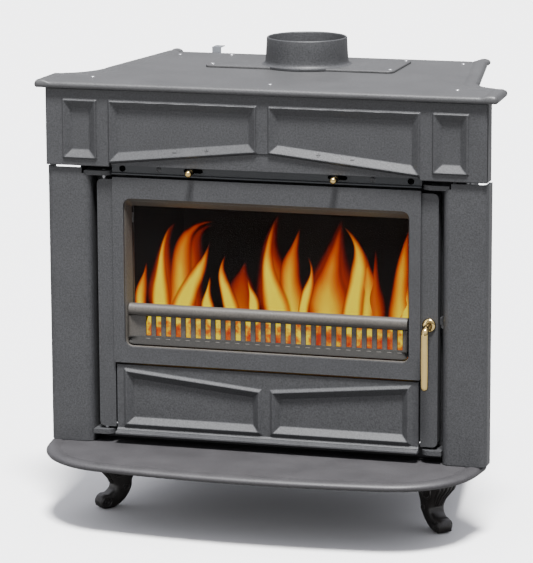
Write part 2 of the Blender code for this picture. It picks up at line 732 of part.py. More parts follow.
def make_door(iron):
    """The door casting: side bands, a raised centre round the window, and a rim behind."""
    step = IRON
    window = round_rectangle(-WINDOW_HALF, WINDOW_LOW, WINDOW_HALF, WINDOW_HIGH, WINDOW_CORNER)
    centre = round_rectangle(-CENTRE_HALF, CENTRE_LOW, CENTRE_HALF, CENTRE_HIGH, 1.5 * MM, 1)
    door = add_object("door_frame", prism(centre, DOOR_Y, BAND_Y, "XZ", holes=(window,)), iron)

    inner = rectangle(-CENTRE_HALF + step, CENTRE_LOW + step, CENTRE_HALF - step, CENTRE_HIGH - step)
    bands = band_outline(DOOR_LOW, DOOR_HIGH, 9 * MM)
    band_back = BAND_Y + IRON
    skin = prism(bands, BAND_Y, band_back, "XZ")
    band_skin = add_object("band_skin", skin, iron)
    below = box((-FLAP_BAY, BAND_Y - MM, DOOR_LOW - MM), (FLAP_BAY, band_back + MM, CENTRE_LOW))
    pocket = prism(inner, BAND_Y - MM, band_back + MM, "XZ")
    cut(band_skin, below, pocket)
    join(door, band_skin.data.copy())
    bpy.data.objects.remove(band_skin, do_unlink=True)
    join(door, prism(centre, BAND_Y - MM, band_back, "XZ", holes=(inner,)))

    rim = add_object("rim", prism(bands, band_back - MM, DOOR_BACK_Y, "XZ"), iron)
    side_in = FLAP_BAY
    hollow = rectangle(-side_in, BAR_HIGH, side_in, RIM_TOP_LOW)
    bay = rectangle(-side_in, DOOR_LOW - MM, side_in, BAR_LOW)
    bar_front = rectangle(-side_in, BAR_LOW - MM, side_in, BAR_HIGH + MM)
    cut(
        rim,
        prism(hollow, band_back - 2 * MM, DOOR_BACK_Y + MM, "XZ"),
        prism(bay, band_back - 2 * MM, DOOR_BACK_Y + MM, "XZ"),
        prism(bar_front, band_back - 2 * MM, DOOR_BACK_Y - 8 * MM, "XZ"),
    )
    join(door, rim.data.copy())
    bpy.data.objects.remove(rim, do_unlink=True)

    pin_r = HINGE_PIN_R + RUN
    cut(
        door,
        rod((HINGE_X, HINGE_Y, 0), pin_r, DOOR_LOW - 5 * MM, DOOR_LOW + 24 * MM),
        rod((HINGE_X, HINGE_Y, 0), pin_r, DOOR_HIGH - 24 * MM, DOOR_HIGH + 5 * MM),
        rod((HANDLE_X, 0, HANDLE_Z), SPINDLE_R + RUN, BAND_Y - 5 * MM, DOOR_BACK_Y + 5 * MM, "Y"),
    )
    for side in (-1, 1):
        reach = sorted((side * (FLAP_BAY - 2 * MM), side * (FLAP_BAY + 14 * MM)))
        cut(door, rod((0, FLAP_AXIS_Y, FLAP_AXIS_Z), FLAP_PIN_R + RUN, reach[0], reach[1], "X", 12))
    door.data.set_sharp_from_angle(angle=math.radians(40))
    return door


def make_bezel(iron):
    """The window bezel: a flange behind the door's opening and a collar back to the glass."""
    flange_y = BAND_Y + GAP
    inner_half = WINDOW_HALF - BEZEL_SIDE
    inner_low, inner_high = WINDOW_LOW + 4 * MM, WINDOW_HIGH - BEZEL_TOP
    outer_half = CENTRE_HALF - IRON - GAP
    outer = rectangle(-outer_half, CENTRE_LOW + IRON + GAP, outer_half, WINDOW_HIGH + 12 * MM)
    inner = rectangle(-inner_half, inner_low, inner_half, inner_high)
    back_y = flange_y + BEZEL_THICK
    bezel = add_object("window_bezel", prism(outer, flange_y, back_y, "XZ", holes=(inner,)), iron)
    wall = offset(inner, 4 * MM)
    collar = prism(wall, back_y - MM, GLASS_Y - GAP, "XZ", holes=(inner,))
    return join(bezel, collar)


FENDER_SLOTS = 26
FENDER_PITCH = (WINDOW_HALF - 21 * MM) * 2 / FENDER_SLOTS
FENDER_SLOT = 10 * MM
FENDER_SHIFT = FENDER_PITCH / 2  # the row of slots starts after a wider post at the hinge side


def make_fender(iron):
    """The fender in the foot of the window: a half-round rail, a slotted wall and a sloping sill."""
    half = WINDOW_HALF - BEZEL_SIDE - GAP
    low = WINDOW_LOW + 4 * MM + GAP
    face = GLASS_Y - 4.8 * MM
    rear = GLASS_Y - 0.8 * MM
    rail_z, rail_r = WINDOW_LOW + 68.1 * MM, 11 * MM
    front = BAND_Y + MM
    rail = [
        (face - 5 * MM - (face - 5 * MM - front) * math.cos(math.radians(a)), rail_z + rail_r * math.sin(math.radians(a)))
        for a in (90, 60, 30, 0, -30, -60, -90)
    ]
    section = [(rear, low), (rear, rail_z + rail_r), *rail, (face, rail_z - rail_r), (face, low + 12 * MM)]
    section += [(front + 2 * MM, low + 2 * MM), (front + 2 * MM, low)]
    fender = add_object("fender", prism(section, -half, half, plane="YZ"), iron, smooth=True)
    for i in range(FENDER_SLOTS):
        x = (i - (FENDER_SLOTS - 1) / 2) * FENDER_PITCH + FENDER_SHIFT
        slot = box(
            (x - FENDER_SLOT / 2, face - 2 * MM, low + 14 * MM),
            (x + FENDER_SLOT / 2, rear + 2 * MM, rail_z - rail_r - 3 * MM),
        )
        cut(fender, slot)
    return fender


def make_glass(clear, rope, steel):
    """The ceramic glass behind the bezel, its four clips, and the rope seal round the door."""
    half = WINDOW_HALF - BEZEL_SIDE + 7 * MM
    low, high = WINDOW_LOW - 2 * MM, WINDOW_HIGH - BEZEL_TOP + 7 * MM
    glass = add_object("window_glass", box((-half, GLASS_Y, low), (half, GLASS_Y + GLASS_THICK, high)), clear)
    pieces = [glass]
    clip_y = GLASS_Y + GLASS_THICK + GAP
    for row, z in (("low", low + 30 * MM), ("high", high - 30 * MM)):
        for label, side in (("left", -1), ("right", 1)):
            reach = sorted((side * (half - 8 * MM), side * (half + 12 * MM)))
            foot = sorted((side * (half + GAP), side * (half + 12 * MM)))
            plate = box((reach[0], clip_y, z - 9 * MM), (reach[1], clip_y + 2 * MM, z + 9 * MM))
            clip = add_object(f"glass_clip_{row}_{label}", plate, steel)
            leg_front = BAND_Y + GAP + BEZEL_THICK + GAP
            join(clip, box((foot[0], leg_front, z - 9 * MM), (foot[1], clip_y + MM, z + 9 * MM)))
            pieces.append(clip)
    centre = round_rectangle(-ROPE_X, ROPE_LOW, ROPE_X, ROPE_HIGH, 12 * MM, 3)
    y = (DOOR_BACK_Y + FRAME_Y) / 2
    rings = []
    for i, (x, z) in enumerate(centre):
        before, after = Vector(centre[i - 1]), Vector(centre[(i + 1) % len(centre)])
        along = (after - before).normalized()
        out = Vector((along.y, -along.x))
        ring = [
            (x + out.x * ROPE_R * math.cos(a), y + ROPE_R * math.sin(a), z + out.y * ROPE_R * math.cos(a))
            for a in [2 * math.pi * k / 8 for k in range(8)]
        ]
        rings.append(ring)
    pieces.append(add_object("door_rope", loft(rings, closed=True), rope, smooth=True))
    return pieces


ROPE_X = CENTRE_HALF + 3.2 * MM
ROPE_LOW = DOOR_LOW + 16 * MM
ROPE_HIGH = DOOR_HIGH - 11 * MM


def make_flap(iron, steel):
    """The ash flap: two framed panels whose tops fall to the middle, a lip at its foot, and two pins."""
    half = FLAP_BAY - 2.7 * MM
    high = CENTRE_LOW - 4 * MM
    left, right = 13 * MM, half - 18.8 * MM
    low, peak, valley = FLAP_LOW + 18.3 * MM, high - 12.6 * MM, high - 37 * MM
    panel = [(left, low), (right, low), (right, peak), (left, valley)]
    face = DOOR_Y + 4 * MM
    mesh = moulded_plate(
        rectangle(-half, FLAP_LOW, half, high),
        (panel, mirrored(panel)),
        face,
        face + 12 * MM,
        6 * MM,
        RIDGE_RISE,
        RIDGE_LAND,
        12.3 * MM,
        BEVEL_DEPTH,
    )
    flap = add_object("ash_flap", mesh, iron)
    lip = [
        (face + 2 * MM, FLAP_LOW),
        (face + 2 * MM, FLAP_LOW + 9.8 * MM),
        (face - 3.5 * MM, FLAP_LOW + 8.6 * MM),
        (face - 3.5 * MM, FLAP_LOW + 5.2 * MM),
        (DOOR_Y - 6 * MM, FLAP_LOW + 4.4 * MM),
        (DOOR_Y - 6 * MM, FLAP_LOW + 1 * MM),
        (DOOR_Y - 4 * MM, FLAP_LOW),
    ]
    join(flap, prism(lip, -half, half, plane="YZ"))
    relief = box((-half - MM, FLAP_AXIS_Y - 4 * MM, FLAP_LOW - MM), (half + MM, face + 13 * MM, FLAP_LOW + 11 * MM))
    cut(flap, relief)
    pieces = [flap]
    for label, side in (("left", -1), ("right", 1)):
        inner = half - 20 * MM
        hub = sorted((side * (inner - 2 * MM), side * half))
        join(flap, rod((0, FLAP_AXIS_Y, FLAP_AXIS_Z), 6 * MM, hub[0], hub[1], "X", 14))
        bore = sorted((side * (inner - GAP), side * (half + MM)))
        cut(flap, rod((0, FLAP_AXIS_Y, FLAP_AXIS_Z), FLAP_PIN_R + RUN, bore[0], bore[1], "X", 12))
        reach = sorted((side * inner, side * (FLAP_BAY + 13 * MM)))
        pin = rod((0, FLAP_AXIS_Y, FLAP_AXIS_Z), FLAP_PIN_R, reach[0], reach[1], "X", 12)
        pieces.append(add_object(f"flap_pin_{label}", pin, steel, smooth=True))
    return pieces


def make_hinge_pins(steel):
    """The two pins that the door hangs on, fixed in the frame's left lugs."""
    high = LUG_TOP_LOW + LUG_THICK + 0.8 * MM
    top = rod((HINGE_X, HINGE_Y, 0), HINGE_PIN_R, DOOR_HIGH - 22 * MM, high)
    add_object("hinge_pin_top", top, steel, smooth=True)
    bottom = rod((HINGE_X, HINGE_Y, 0), HINGE_PIN_R, LUG_BOTTOM_LOW - 0.8 * MM, DOOR_LOW + 22 * MM)
    add_object("hinge_pin_bottom", bottom, steel, smooth=True)


# ---------------------------------------------------------------- handle and latch

GRIP_Y = BAND_Y - 36 * MM
GRIP_LOW = HANDLE_Z - 113 * MM
ELBOW_R = 12 * MM
TONGUE_REACH = 24 * MM
TONGUE_REST = -22  # degrees below level when the door is just pushed to


def oval(centre, side, up, half_side, half_up, steps=12):
    """A ring of points round centre, in the plane of two directions."""
    ring = []
    for k in range(steps):
        angle = 2 * math.pi * k / steps
        ring.append(tuple(centre + side * half_side * math.cos(angle) + up * half_up * math.sin(angle)))
    return ring


def make_handle(brass, steel):
    """The brass lever on its spindle, the rose on the door, and the latch tongue behind."""
    across = Vector((1, 0, 0))
    rings = []
    end = FRAME_Y - 2.4 * MM
    for y in (end, GRIP_Y + ELBOW_R + 6 * MM):
        rings.append(oval(Vector((HANDLE_X, y, HANDLE_Z)), across, Vector((0, 0, 1)), SPINDLE_R, SPINDLE_R))
    corner = Vector((HANDLE_X, GRIP_Y + ELBOW_R, HANDLE_Z - ELBOW_R))
    for i in range(5):
        angle = math.radians(90 * i / 4)
        out = Vector((0, -math.sin(angle), math.cos(angle)))
        swell = i / 4
        side = SPINDLE_R + 1.3 * MM * swell + 0.8 * MM
        rings.append(oval(corner + out * ELBOW_R, across, out, side, SPINDLE_R + 0.4 * MM))
    front = Vector((0, -1, 0))
    for rise, side, deep in ((84, 7.0, 5.2), (54, 7.3, 5.4), (16, 7.2, 5.2), (6, 6.2, 4.5), (2, 4.2, 3.2)):
        centre = Vector((HANDLE_X, GRIP_Y, GRIP_LOW + rise * MM))
        rings.append(oval(centre, across, front, side * MM, deep * MM))
    rings.append(oval(Vector((HANDLE_X, GRIP_Y, GRIP_LOW)), across, front, 1.5 * MM, 1.2 * MM))
    lever = add_object("handle_lever", loft(rings), brass, smooth=True)

    profile = [
        (SPINDLE_R + RUN, 0),
        (12.5 * MM, 0),
        (12.5 * MM, -2.4 * MM),
        (10.5 * MM, -4.2 * MM),
        (7.5 * MM, -4.8 * MM),
        (SPINDLE_R + RUN, -4.8 * MM),
    ]
    rose = turned(profile, (HANDLE_X, BAND_Y - GAP, HANDLE_Z), "Y", 24)
    rose = add_object("handle_rose", rose, brass, smooth=True)

    turn = math.radians(TONGUE_REST)
    half = 3 * MM
    hub = arc((0, 0), 8 * MM, 22, 338, 14)
    outline = [(TONGUE_REACH, -half), (TONGUE_REACH, half)] + hub
    outline = [
        (HANDLE_X + x * math.cos(turn) - z * math.sin(turn), HANDLE_Z + x * math.sin(turn) + z * math.cos(turn))
        for x, z in outline
    ]
    bore = circle((HANDLE_X, HANDLE_Z), SPINDLE_R + GAP, 12)
    tongue = prism(outline, DOOR_BACK_Y + 0.8 * MM, DOOR_BACK_Y + 5.2 * MM, "XZ", holes=(bore,))
    tongue = add_object("latch_tongue", tongue, steel)
    return rose, (lever, tongue)


def make_keeper(iron):
    """The latch keeper on the frame: a hooked block whose lip stands in front of the tongue's path."""
    lip_back = DOOR_BACK_Y + 0.3 * MM
    low, high = HANDLE_Z - 4.5 * MM, HANDLE_Z + 12 * MM
    section = [
        (lip_back - 14 * MM, low + 3 * MM),
        (lip_back - 3 * MM, low),
        (lip_back, low),
        (lip_back, high - 3.6 * MM),
        (FRAME_Y - GAP, high - 3.6 * MM),
        (FRAME_Y - GAP, high),
        (lip_back - 14 * MM, high),
    ]
    keeper = prism(section, DOOR_HALF + 1.2 * MM, COLUMN_IN - 0.6 * MM, plane="YZ")
    add_object("latch_keeper", keeper, iron)


# ---------------------------------------------------------------- body and top

def make_side_panels(iron):
    """The two tapered side walls, each with one framed panel."""
    run = Vector((BODY_BACK_HALF - BODY_FRONT_HALF, BODY_DEPTH))
    slant = math.atan2(-run.x, run.y)
    front = BODY_Y + GAP + SIDE_WALL * math.sin(slant)
    back = BODY_BACK_Y - WALL - GAP
    length = (back - front) / math.cos(slant)
    low, high = HEARTH_TOP + GAP, FRIEZE_HIGH
    outline = rectangle(-length / 2, low, length / 2, high)
    border = 58 * MM
    panel = rectangle(-length / 2 + border, low + border, length / 2 - border, high - border)
    mesh = moulded_plate(
        outline, (panel,), 0, SIDE_WALL, 2.5 * MM, 3 * MM, RIDGE_LAND, BEVEL_WIDTH, 6.5 * MM
    )
    middle_y = (front + back) / 2
    for name, side in (("side_panel_left", -1), ("side_panel_right", 1)):
        panel_piece = add_object(name, mesh, iron)
        panel_piece.location = (side * body_half(middle_y), middle_y, 0)
        panel_piece.rotation_euler = (0, 0, side * (math.pi / 2 + slant))


def make_back(iron, zinc):
    """The back plate, the steel heat shield behind it and the bent bracket at its top."""
    half = body_half(BODY_BACK_Y)
    plate = box((-half, BODY_BACK_Y - WALL, HEARTH_TOP + GAP), (half, BODY_BACK_Y, FRIEZE_HIGH))
    add_object("back_plate", plate, iron)

    near, far = BODY_BACK_Y + GAP, BODY_BACK_Y + 10 * MM
    half = BODY_BACK_HALF - 28 * MM
    tray = [
        (-half, near),
        (-half + SHEET, near),
        (-half + SHEET, far - SHEET),
        (half - SHEET, far - SHEET),
        (half - SHEET, near),
        (half, near),
        (half, far),
        (-half, far),
    ]
    add_object("heat_shield", prism(tray, HEARTH_TOP + 40 * MM, TOP_LOW - 10 * MM), zinc)

    x, width = 82.5 * MM - BODY_BACK_HALF, 18 * MM
    rise = TOP_HIGH + 10 * MM
    leg = far + GAP
    strip = [
        (leg, TOP_LOW - 60 * MM),
        (leg + SHEET, TOP_LOW - 60 * MM),
        (leg + SHEET, rise - SHEET),
        (BACK - 1 * MM, rise - SHEET),
        (BACK - 1 * MM, rise),
        (leg, rise),
    ]
    bracket = add_object("shield_bracket", prism(strip, x - width / 2, x + width / 2, plane="YZ"), zinc)
    cut(bracket, rod((x, (leg + BACK) / 2, 0), 3 * MM, rise - 5 * MM, rise + 5 * MM, steps=12))


def top_outline():
    """Plan of the top plate: wide ears over the columns, a cove, tapered sides and small rear horns."""
    front = FRIEZE_Y - 9.5 * MM
    ear_back = FRIEZE_Y + 91 * MM
    cove_end = FRIEZE_Y + 181 * MM
    back = BODY_BACK_Y + 7 * MM
    neck = TOP_HALF - 74 * MM
    horn = BODY_BACK_HALF + 13 * MM
    corner = 9 * MM
    ear = arc((TOP_HALF - corner, front + corner), corner, -90, 0, 4)
    ear += arc((TOP_HALF - 4 * MM - 3 * MM, ear_back - 3 * MM), 3 * MM, 0, 70, 2)
    cove = []
    for i in range(1, 9):
        angle = math.radians(90 * i / 8)
        cove.append(
            (
                TOP_HALF - 4 * MM - (TOP_HALF - 4 * MM - neck) * math.sin(angle),
                cove_end - (cove_end - ear_back) * math.cos(angle),
            )
        )
    tail = [(horn + 1 * MM, back), (horn - 1 * MM, BACK - 3 * MM), (horn - 4 * MM, BACK), (horn - 9 * MM, BACK)]
    hook = arc((horn - 34 * MM, BACK - 5 * MM), 24 * MM, 0, -60, 3)
    root = [(horn - 32 * MM, back)]
    right = ear + cove + tail + hook + root
    return right + [(-x, y) for x, y in reversed(right)]


TOP_SCREWS = {
    "top_screw_front": (0, FRIEZE_Y + 52 * MM),
    "top_screw_left": (-COLUMN_IN - 12 * MM, FRIEZE_Y + 67 * MM),
    "top_screw_right": (COLUMN_IN + 12 * MM, FRIEZE_Y + 67 * MM),
    "top_screw_rear_left": (24 * MM - BODY_BACK_HALF, BODY_BACK_Y - 36 * MM),
    "top_screw_rear_right": (BODY_BACK_HALF - 24 * MM, BODY_BACK_Y - 36 * MM),
}
FLUE_SCREW_X = FLUE_PLATE_HALF - 10 * MM
FLUE_SCREWS = {
    "flue_screw_front_left": (-FLUE_SCREW_X, FLUE_PLATE_Y + 22 * MM),
    "flue_screw_front_right": (FLUE_SCREW_X, FLUE_PLATE_Y + 22 * MM),
    "flue_screw_rear_left": (-FLUE_SCREW_X, FLUE_PLATE_Y + 145 * MM),
    "flue_screw_rear_right": (FLUE_SCREW_X, FLUE_PLATE_Y + 145 * MM),
}
SCREW_LENGTH = 9 * MM


def make_top(iron, steel):
    """The top plate, the flue collar on its plate, and the screws in both."""
    edge = (
        (2.5 * MM, TOP_LOW),
        (0.5 * MM, TOP_LOW + 2.5 * MM),
        (0, TOP_LOW + 6 * MM),
        (1 * MM, TOP_LOW + 9.5 * MM),
        (3.5 * MM, TOP_HIGH),
    )
    top = add_object("top_plate", edged_plate(top_outline(), edge), iron, smooth=True)
    throat = FLUE_R - FLUE_WALL
    cut(top, rod((0, FLUE_Y, 0), throat - MM, TOP_LOW - MM, TOP_HIGH + MM, steps=32))

    seat = TOP_HIGH + GAP
    face = seat + FLUE_PLATE_THICK
    plate = round_rectangle(
        -FLUE_PLATE_HALF, FLUE_PLATE_Y, FLUE_PLATE_HALF, FLUE_PLATE_Y + FLUE_PLATE_DEPTH, 12 * MM, 3
    )
    collar = add_object("flue_collar", prism(plate, seat, face), iron)
    rim = TOP_HIGH + COLLAR_HEIGHT
    profile = [
        (0, seat + 0.3 * MM),
        (FLUE_R + 7 * MM, seat + 0.3 * MM),
        (FLUE_R + 7 * MM, face + 0.3 * MM),
        (FLUE_R + 3.5 * MM, face + 2.5 * MM),
        (FLUE_R + 1.8 * MM, face + 9 * MM),
        (FLUE_R, rim - 1 * MM),
        (FLUE_R - 1 * MM, rim),
        (0, rim),
    ]
    join(collar, turned(profile, (0, FLUE_Y, 0), "Z", 32))
    cut(collar, rod((0, FLUE_Y, 0), throat, seat - MM, rim + MM, steps=32))

    for names, piece, level in ((TOP_SCREWS, top, TOP_HIGH), (FLUE_SCREWS, collar, face)):
        for name, (x, y) in names.items():
            profile = screw_profile(4.2 * MM, 1.8 * MM, SHANK_R, SCREW_LENGTH)
            mesh = turned(profile, (x, y, level + GAP), "Z", 12)
            add_object(name, mesh, steel, smooth=True)
            low = level - SCREW_LENGTH - MM
            hole = rod((x, y, 0), SHANK_R + RUN, low, level + MM, steps=12)
            cut(piece, hole)
            if piece is collar:
                cut(top, hole.copy())


# ---------------------------------------------------------------- inside the firebox

BED_THICK = 8 * MM
GRATE_HALF = 165 * MM
GRATE_FRONT = BODY_Y + 88 * MM
GRATE_BACK = BODY_BACK_Y - 94 * MM
GRATE_SLOTS = 12


def make_fire_bed(iron, dark):
    """The bed plate across the body and the slotted grate that lies over its hole."""
    front, back = BODY_Y + GAP, BODY_BACK_Y - WALL - GAP
    inset = SIDE_WALL + 2 * MM
    outline = [
        (-body_half(front) + inset, front),
        (body_half(front) - inset, front),
        (body_half(back) - inset, back),
        (-body_half(back) + inset, back),
    ]
    lap = 14 * MM
    hole = rectangle(-GRATE_HALF + lap, GRATE_FRONT + lap, GRATE_HALF - lap, GRATE_BACK - lap)
    bed = prism(outline, BED_HIGH - BED_THICK, BED_HIGH, holes=(hole,))
    add_object("fire_bed", bed, dark)
    seat = BED_HIGH + GAP
    pitch = 2 * (GRATE_HALF - lap) / GRATE_SLOTS
    slots = []
    for i in range(GRATE_SLOTS):
        x = (i - (GRATE_SLOTS - 1) / 2) * pitch
        slots.append(rectangle(x - 5 * MM, GRATE_FRONT + lap + 6 * MM, x + 5 * MM, GRATE_BACK - lap - 6 * MM))
    plate = rectangle(-GRATE_HALF, GRATE_FRONT, GRATE_HALF, GRATE_BACK)
    add_object("grate", prism(plate, seat, seat + 10 * MM, holes=slots), iron)


def make_liners(brick, dark):
    """Firebrick slabs along the sides and back, and the baffle plate above them."""
    low, high = BED_HIGH + GAP, BRICK_HIGH
    slant = math.atan2(BODY_FRONT_HALF - BODY_BACK_HALF, BODY_DEPTH)
    front, back = BODY_Y + 25 * MM, BODY_BACK_Y - WALL - BRICK - 12 * MM
    length = (back - front) / math.cos(slant)
    mesh = box((-length / 2, -BRICK / 2, low), (length / 2, BRICK / 2, high))
    middle = (front + back) / 2
    inset = (SIDE_WALL + 2 * MM + BRICK / 2) / math.cos(slant)
    for name, side in (("brick_left", -1), ("brick_right", 1)):
        slab = add_object(name, mesh, brick)
        slab.location = (side * (body_half(middle) - inset), middle, 0)
        slab.rotation_euler = (0, 0, side * (math.pi / 2 + slant))
    far = BODY_BACK_Y - WALL - 4 * MM
    half = body_half(far) - SIDE_WALL - 4 * MM
    add_object("brick_back", box((-half, far - BRICK, low), (half, far, high)), brick)
    half = body_half(far) - SIDE_WALL - 2 * MM
    add_object("baffle", box((-half, BODY_Y + 90 * MM, high + GAP), (half, far, high + 10 * MM)), dark)


def make_ash_pan(steel):
    """The sheet ash pan with its bail, on two ribs of the base plate under the grate."""
    high = PAN_LOW + 74 * MM
    wall = 2 * MM
    pan = add_object("ash_pan", box((-PAN_HALF, PAN_FRONT, PAN_LOW), (PAN_HALF, PAN_BACK, high)), steel)
    inside = (wall - PAN_HALF, PAN_FRONT + wall, PAN_LOW + wall), (PAN_HALF - wall, PAN_BACK - wall, high + MM)
    cut(pan, box(*inside))
    bail_z = PAN_LOW + 40 * MM
    outer, strap, reach = 45 * MM, 3 * MM, 12 * MM
    bail = [
        (-outer, PAN_FRONT + MM),
        (-outer, PAN_FRONT - reach),
        (outer, PAN_FRONT - reach),
        (outer, PAN_FRONT + MM),
        (outer - strap, PAN_FRONT + MM),
        (outer - strap, PAN_FRONT - reach + strap),
        (-outer + strap, PAN_FRONT - reach + strap),
        (-outer + strap, PAN_FRONT + MM),
    ]
    join(pan, prism(bail, bail_z - 6 * MM, bail_z + 6 * MM))


def main():
    """Build every piece of the stove."""
    clear_scene()
    iron = finish("grey_cast_iron", (0.105, 0.107, 0.112), 0.6, 0.35)
    foot_iron = finish("dark_cast_iron", (0.04, 0.038, 0.036), 0.55, 0.35)
    rail_iron = finish("blue_grey_rail", (0.06, 0.066, 0.075), 0.5, 0.35)
    bezel_iron = finish("bezel_iron", (0.12, 0.11, 0.1), 0.6, 0.3)
    dark = finish("fire_blackened_iron", (0.02, 0.019, 0.018), 0.85, 0.2)
    brass = finish("polished_brass", (0.78, 0.62, 0.32), 0.16, 1.0)
    steel = finish("bright_steel", (0.45, 0.45, 0.46), 0.35, 1.0)
    zinc = finish("zinc_sheet", (0.55, 0.57, 0.6), 0.4, 0.9)
    brick = finish("firebrick", (0.5, 0.42, 0.32), 0.95, 0.0)
    rope = finish("glass_rope", (0.3, 0.29, 0.27), 0.95, 0.0)
    clear = finish("ceramic_glass", (0.9, 0.92, 0.9), 0.04, 0.0)

    make_feet(foot_iron)
    make_hearth(iron)
    make_base(iron)
    make_columns(iron)
    make_frame(iron)
    make_frieze(iron)
    make_lintel(iron)
    make_air_duct(iron)
    make_rail(rail_iron)
    make_rail_screws(steel)
    make_slides(dark, brass)

    door_axis = axis_empty("door_axis", (HINGE_X, HINGE_Y, DOOR_LOW))
    flap_axis = axis_empty("flap_axis", (0, FLAP_AXIS_Y, FLAP_AXIS_Z), door_axis)
    handle_axis = axis_empty("handle_axis", (HANDLE_X, BAND_Y, HANDLE_Z), door_axis)
    hang(door_axis, make_door(iron), make_bezel(bezel_iron), make_fender(bezel_iron))
    hang(door_axis, *make_glass(clear, rope, steel))
    hang(flap_axis, *make_flap(iron, steel))
    rose, turning = make_handle(brass, steel)
    hang(door_axis, rose)
    hang(handle_axis, *turning)
    make_hinge_pins(steel)
    make_keeper(iron)

    make_side_panels(iron)
    make_back(iron, zinc)
    make_top(iron, steel)
    make_fire_bed(dark, dark)
    make_liners(brick, dark)
    make_ash_pan(steel)


main()
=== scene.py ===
"""Looks for the wood burning stove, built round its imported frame."""

import math

import bmesh
import bpy
import numpy as np
from mathutils import Matrix, Vector


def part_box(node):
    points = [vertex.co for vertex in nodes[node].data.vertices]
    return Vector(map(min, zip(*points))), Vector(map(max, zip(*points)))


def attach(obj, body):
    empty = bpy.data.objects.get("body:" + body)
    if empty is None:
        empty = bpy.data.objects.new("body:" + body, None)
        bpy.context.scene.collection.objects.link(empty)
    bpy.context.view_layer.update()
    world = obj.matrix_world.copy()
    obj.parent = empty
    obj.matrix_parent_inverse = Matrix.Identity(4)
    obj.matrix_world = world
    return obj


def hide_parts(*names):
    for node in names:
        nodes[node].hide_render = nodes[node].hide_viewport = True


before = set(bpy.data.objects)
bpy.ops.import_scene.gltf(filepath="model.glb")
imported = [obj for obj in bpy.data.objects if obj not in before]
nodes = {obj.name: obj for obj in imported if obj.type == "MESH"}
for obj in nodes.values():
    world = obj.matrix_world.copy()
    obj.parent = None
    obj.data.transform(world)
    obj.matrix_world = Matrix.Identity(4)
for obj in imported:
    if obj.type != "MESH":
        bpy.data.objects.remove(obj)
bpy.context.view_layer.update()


# ---------------------------------------------------------------- camera
# A long lens from the right of the front and a little above, level with the stove's middle.

def put(name, data):
    """Puts new data in the scene as an object."""
    thing = bpy.data.objects.new(name, data)
    bpy.context.scene.collection.objects.link(thing)
    return thing


camera_data = bpy.data.cameras.new("camera")
camera_data.lens = 210.95
camera_data.sensor_width = 36.0
camera_data.clip_end = 60.0
camera = put("camera", camera_data)
camera.matrix_world = (
    Matrix.Translation((1.608, -5.725, 1.654))
    @ Matrix.Rotation(math.radians(16.02), 4, "Z")
    @ Matrix.Rotation(math.radians(90 - 11.66), 4, "X")
    @ Matrix.Rotation(math.radians(-0.24), 4, "Z")
)
bpy.context.scene.camera = camera


# ---------------------------------------------------------------- light and floor
# High daylight, a weak upright strip at the left, soft sky all round and a pale studio floor.

sun_data = bpy.data.lights.new("high_key", "SUN")
sun_data.energy = 13.0
sun_data.angle = math.radians(13)
sun = put("high_key", sun_data)
sun.rotation_euler = Vector((-0.13, 0.33, -0.94)).to_track_quat("-Z", "Y").to_euler()

strip_data = bpy.data.lights.new("strip", "AREA")
strip_data.shape = "RECTANGLE"
strip_data.size = 0.3
strip_data.size_y = 2.4
strip_data.energy = 14.0
strip = put("strip", strip_data)
strip.location = (-1.6, -3.4, 1.0)
strip.rotation_euler = Vector((1.7, 3.2, -0.45)).to_track_quat("-Z", "Y").to_euler()


def colour_ramp(tree, value, stops):
    """A colour ramp on a value socket through (position, colour) stops; gives its colour socket."""
    node = tree.nodes.new("ShaderNodeValToRGB")
    elements = node.color_ramp.elements
    for element, (position, colour) in zip(elements, (stops[0], stops[-1])):
        element.position = position
        element.color = (*colour, 1)
    for position, colour in stops[1:-1]:
        elements.new(position).color = (*colour, 1)
    tree.links.new(value, node.inputs[0])
    return node.outputs[0]


def new_material(name):
    """An empty material, its node tree and its Principled shader."""
    material = bpy.data.materials.new(name)
    material.use_nodes = True
    tree = material.node_tree
    return material, tree, tree.nodes["Principled BSDF"]


world = bpy.data.worlds.new("studio")
world.use_nodes = True
bpy.context.scene.world = world
sky = world.node_tree
sky_split = sky.nodes.new("ShaderNodeSeparateXYZ")
sky.links.new(sky.nodes.new("ShaderNodeTexCoord").outputs["Generated"], sky_split.inputs[0])
sky_colour = colour_ramp(sky, sky_split.outputs["Z"], [(0.0, (0.12, 0.12, 0.125)), (0.9, (1.35, 1.36, 1.48))])
sky.links.new(sky_colour, sky.nodes["Background"].inputs["Color"])

floor_mesh = bpy.data.meshes.new("floor")
floor_mesh.from_pydata([(-30, -30, 0), (30, -30, 0), (30, 30, 0), (-30, 30, 0)], [], [(0, 1, 2, 3)])
floor = put("floor", floor_mesh)
floor_paint, floor_tree, floor_shader = new_material("floor_paint")
floor_shader.inputs["Roughness"].default_value = 0.9
floor_sight = floor_tree.nodes.new("ShaderNodeLightPath")
floor_shade = floor_tree.nodes.new("ShaderNodeMapRange")
floor_shade.inputs["To Min"].default_value = 0.17
floor_shade.inputs["To Max"].default_value = 0.95
floor_tree.links.new(floor_sight.outputs["Is Camera Ray"], floor_shade.inputs["Value"])
floor_tree.links.new(floor_shade.outputs[0], floor_shader.inputs["Base Color"])
floor_mesh.materials.append(floor_paint)


# ---------------------------------------------------------------- cast iron
# Stove paint over sand-cast iron: a fine speckle, broad faint cloudiness and a grainy skin.

